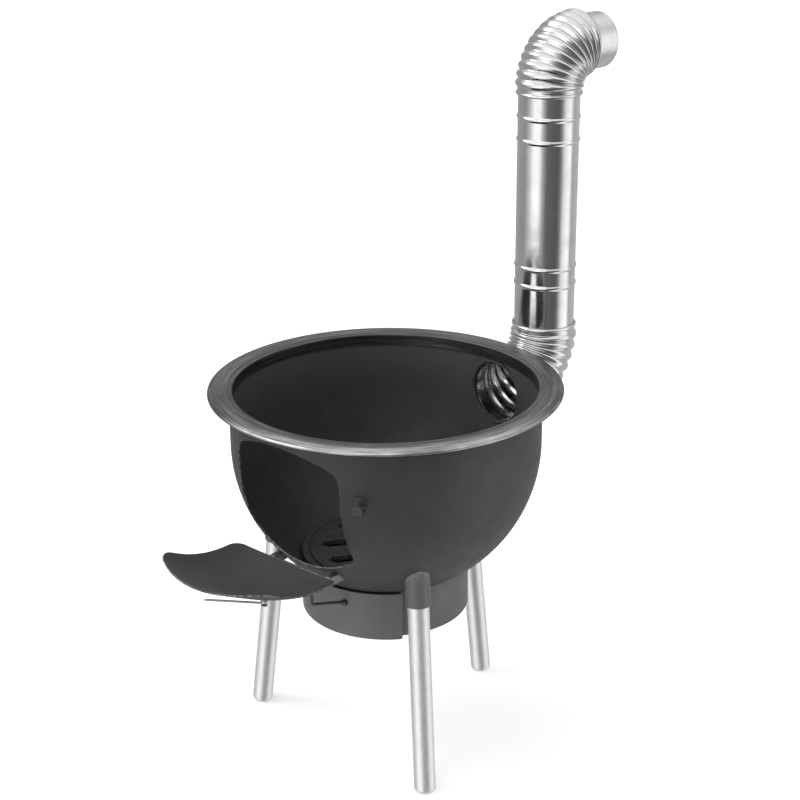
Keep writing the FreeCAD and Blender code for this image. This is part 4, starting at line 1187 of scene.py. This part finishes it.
def make_upper_elbow(heights):
    """Sleeve over the pipe, corrugated bend, and a plain outlet on an end plate."""
    start_z = PIPE_HIGH.z + 0.2
    z = start_z + UPPER_BEND_R
    centre_y = PIPE_DISTANCE + UPPER_BEND_R
    plate_y = centre_y + 1.2
    end_y = plate_y + OUTLET_LENGTH
    bend, worn = bend_rows((centre_y, start_z), UPPER_BEND_R, UPPER_RIDGES, 90, 0, heights)
    sleeve, bore = rolled_sleeve(start_z - SLEEVE_LENGTH, False)
    outlet = [(plate_y - 0.6, z, 0, VALLEY_R), (plate_y - 0.15, z, 0, VALLEY_R - 0.3),
              (plate_y, z, 0, VALLEY_R - 1.0), (plate_y, z, 0, OUTLET_R + 0.6),
              (plate_y + 0.3, z, 0, OUTLET_R + 0.1)]
    outlet += level_rows(plate_y + 0.6, end_y - plate_y - 0.9, 16, z, OUTLET_R)
    outlet += [(end_y - 0.1, z, 0, OUTLET_R - 0.1), (end_y, z, 0, OUTLET_R - 0.3)]
    outlet_bore = level_rows(centre_y, end_y - centre_y, 16, z, OUTLET_R - PIPE_SHEET)
    wear = [0] * len(sleeve) + worn + [0] * len(outlet)
    form = swept_tube(sleeve + bend + outlet, bore + thinner(bend) + outlet_bore, wear)
    add_flue_piece("upper_corrugated_elbow", form, "chimney_outlet", "upper_elbow", "elbow")


def make_flue():
    """Collar, both elbows and the pipe."""
    rng = random.Random(41)
    lower, upper = ([rng.uniform(0.86, 1.0) for _ in range(ridges + 1)]
                    for ridges in (LOWER_RIDGES, UPPER_RIDGES))
    make_collar()
    make_lower_elbow(lower)
    make_pipe()
    make_upper_elbow(upper)


def finish_hidden_parts():
    """Parts that keep the CAD's own shape and only get a material."""
    plain = {"leg_studs": "zinc", "leg_threaded_bushes": "zinc", "drawer_runners": "dark", "ash_tray": "tray"}
    for node, look in plain.items():
        for slot in frame["nodes"][node].material_slots:
            slot.material = LOOKS[look][0]


make_bowl()
make_rim()
make_grate()
make_door()
make_straps()
make_lugs()
make_latch()
make_keeper()
for leg_name, leg_azimuth in LEG_AZIMUTHS.items():
    make_leg(leg_name, leg_azimuth)
    make_socket(leg_name, leg_azimuth)
make_drum()
make_drawer()
make_flue()
finish_hidden_parts()


# Studio

# Azimuth in degrees, to the right of where the camera looks from, and brightness of the cards round the stove
CARDS = ((-180, 0.50), (-95, 0.42), (-75, 0.85), (-58, 1.6), (-38, 1.6), (-24, 0.6), (-9, 0.18), (36, 0.13),
         (46, 0.28), (62, 1.2), (86, 1.6), (102, 0.55), (125, 0.65), (180, 0.55))


def build_floor():
    """Wide pale floor."""
    half = 30.0
    z = FLOOR_Z * MM
    mesh = bpy.data.meshes.new("studio_floor")
    corners = [(-half, -half, z), (half, -half, z), (half, half, z), (-half, half, z)]
    mesh.from_pydata(corners, [], [(0, 1, 2, 3)])
    look = Look("studio_floor_matt")
    tone = look.blend(look.noise(0.6, 3), (0.86, 0.86, 0.86), (0.89, 0.89, 0.89))
    mesh.materials.append(look.done(Base_Color=tone, Roughness=0.9, Specular_IOR_Level=0.1,
                                    Emission_Color=(1, 1, 1, 1), Emission_Strength=0.22))
    floor = bpy.data.objects.new("studio_floor", mesh)
    bpy.context.scene.collection.objects.link(floor)
    floor.visible_glossy = False


def area_light(name, place, target, width, height, power):
    """Soft rectangular light aimed at a point; metres and watts."""
    data = bpy.data.lights.new(name, "AREA")
    data.shape = "RECTANGLE"
    data.size = width
    data.size_y = height
    data.energy = power
    lamp = bpy.data.objects.new(name, data)
    lamp.location = place
    lamp.rotation_euler = (Vector(target) - Vector(place)).to_track_quat("-Z", "Y").to_euler()
    bpy.context.scene.collection.objects.link(lamp)


def build_world():
    """White for the eye; for light and reflections, tall bright cards with dark gaps between them."""
    world = bpy.data.worlds.new("studio_world")
    world.use_nodes = True
    bpy.context.scene.world = world
    nodes = Nodes(world.node_tree)
    direction = nodes.add("ShaderNodeTexCoord").outputs["Generated"]
    turn = math.radians(CAMERA_TURN_DEG)
    ahead = (math.sin(turn), -math.cos(turn), 0)
    aside = (math.cos(turn), math.sin(turn), 0)
    forward, sideways = (nodes.add("ShaderNodeVectorMath", {0: direction, 1: way}, operation="DOT_PRODUCT")
                         .outputs["Value"] for way in (ahead, aside))
    share = nodes.span(nodes.math("ARCTAN2", sideways, forward), -math.pi, math.pi)
    ramp = nodes.add("ShaderNodeValToRGB", {"Fac": share})
    stops = ramp.color_ramp.elements
    for degrees, level in CARDS:
        place = degrees / 360 + 0.5
        if place <= 0:
            stop = stops[0]
        elif place >= 1:
            stop = stops[len(stops) - 1]
        else:
            stop = stops.new(place)
        stop.color = (level, level, level, 1)
    height = nodes.add("ShaderNodeSeparateXYZ", {"Vector": direction}).outputs["Z"]
    overhead = nodes.span(height, 0.40, 0.75)
    around = nodes.blend(overhead, ramp.outputs["Color"], (1.25, 1.25, 1.25))
    seen = nodes.add("ShaderNodeLightPath").outputs["Is Camera Ray"]
    nodes.feed(nodes.tree.nodes["Background"].inputs["Color"], nodes.blend(seen, around, (1, 1, 1)))


def build_camera():
    """Camera at the height and side the stove is usually shown from."""
    data = bpy.data.cameras.new("studio_camera")
    data.lens = CAMERA_LENS_MM
    data.sensor_width = 36.0
    data.clip_end = 100.0
    camera = bpy.data.objects.new("studio_camera", data)
    turn = Matrix.Rotation(math.radians(CAMERA_TURN_DEG), 4, "Z")
    turn = turn @ Matrix.Rotation(math.radians(CAMERA_TILT_DEG), 4, "X")
    turn = turn @ Matrix.Rotation(math.radians(CAMERA_ROLL_DEG), 4, "Z")
    camera.matrix_world = Matrix.Translation(CAMERA_PLACE) @ turn
    bpy.context.scene.collection.objects.link(camera)
    bpy.context.scene.camera = camera


build_floor()
build_world()
area_light("key", (-1.6, -1.0, 1.6), (0, 0, -0.05), 1.2, 1.2, 22)
area_light("fill", (0.9, -2.0, 0.9), (0, 0, -0.1), 1.6, 1.6, 10)
build_camera()
bpy.context.scene.view_settings.view_transform = "Standard"
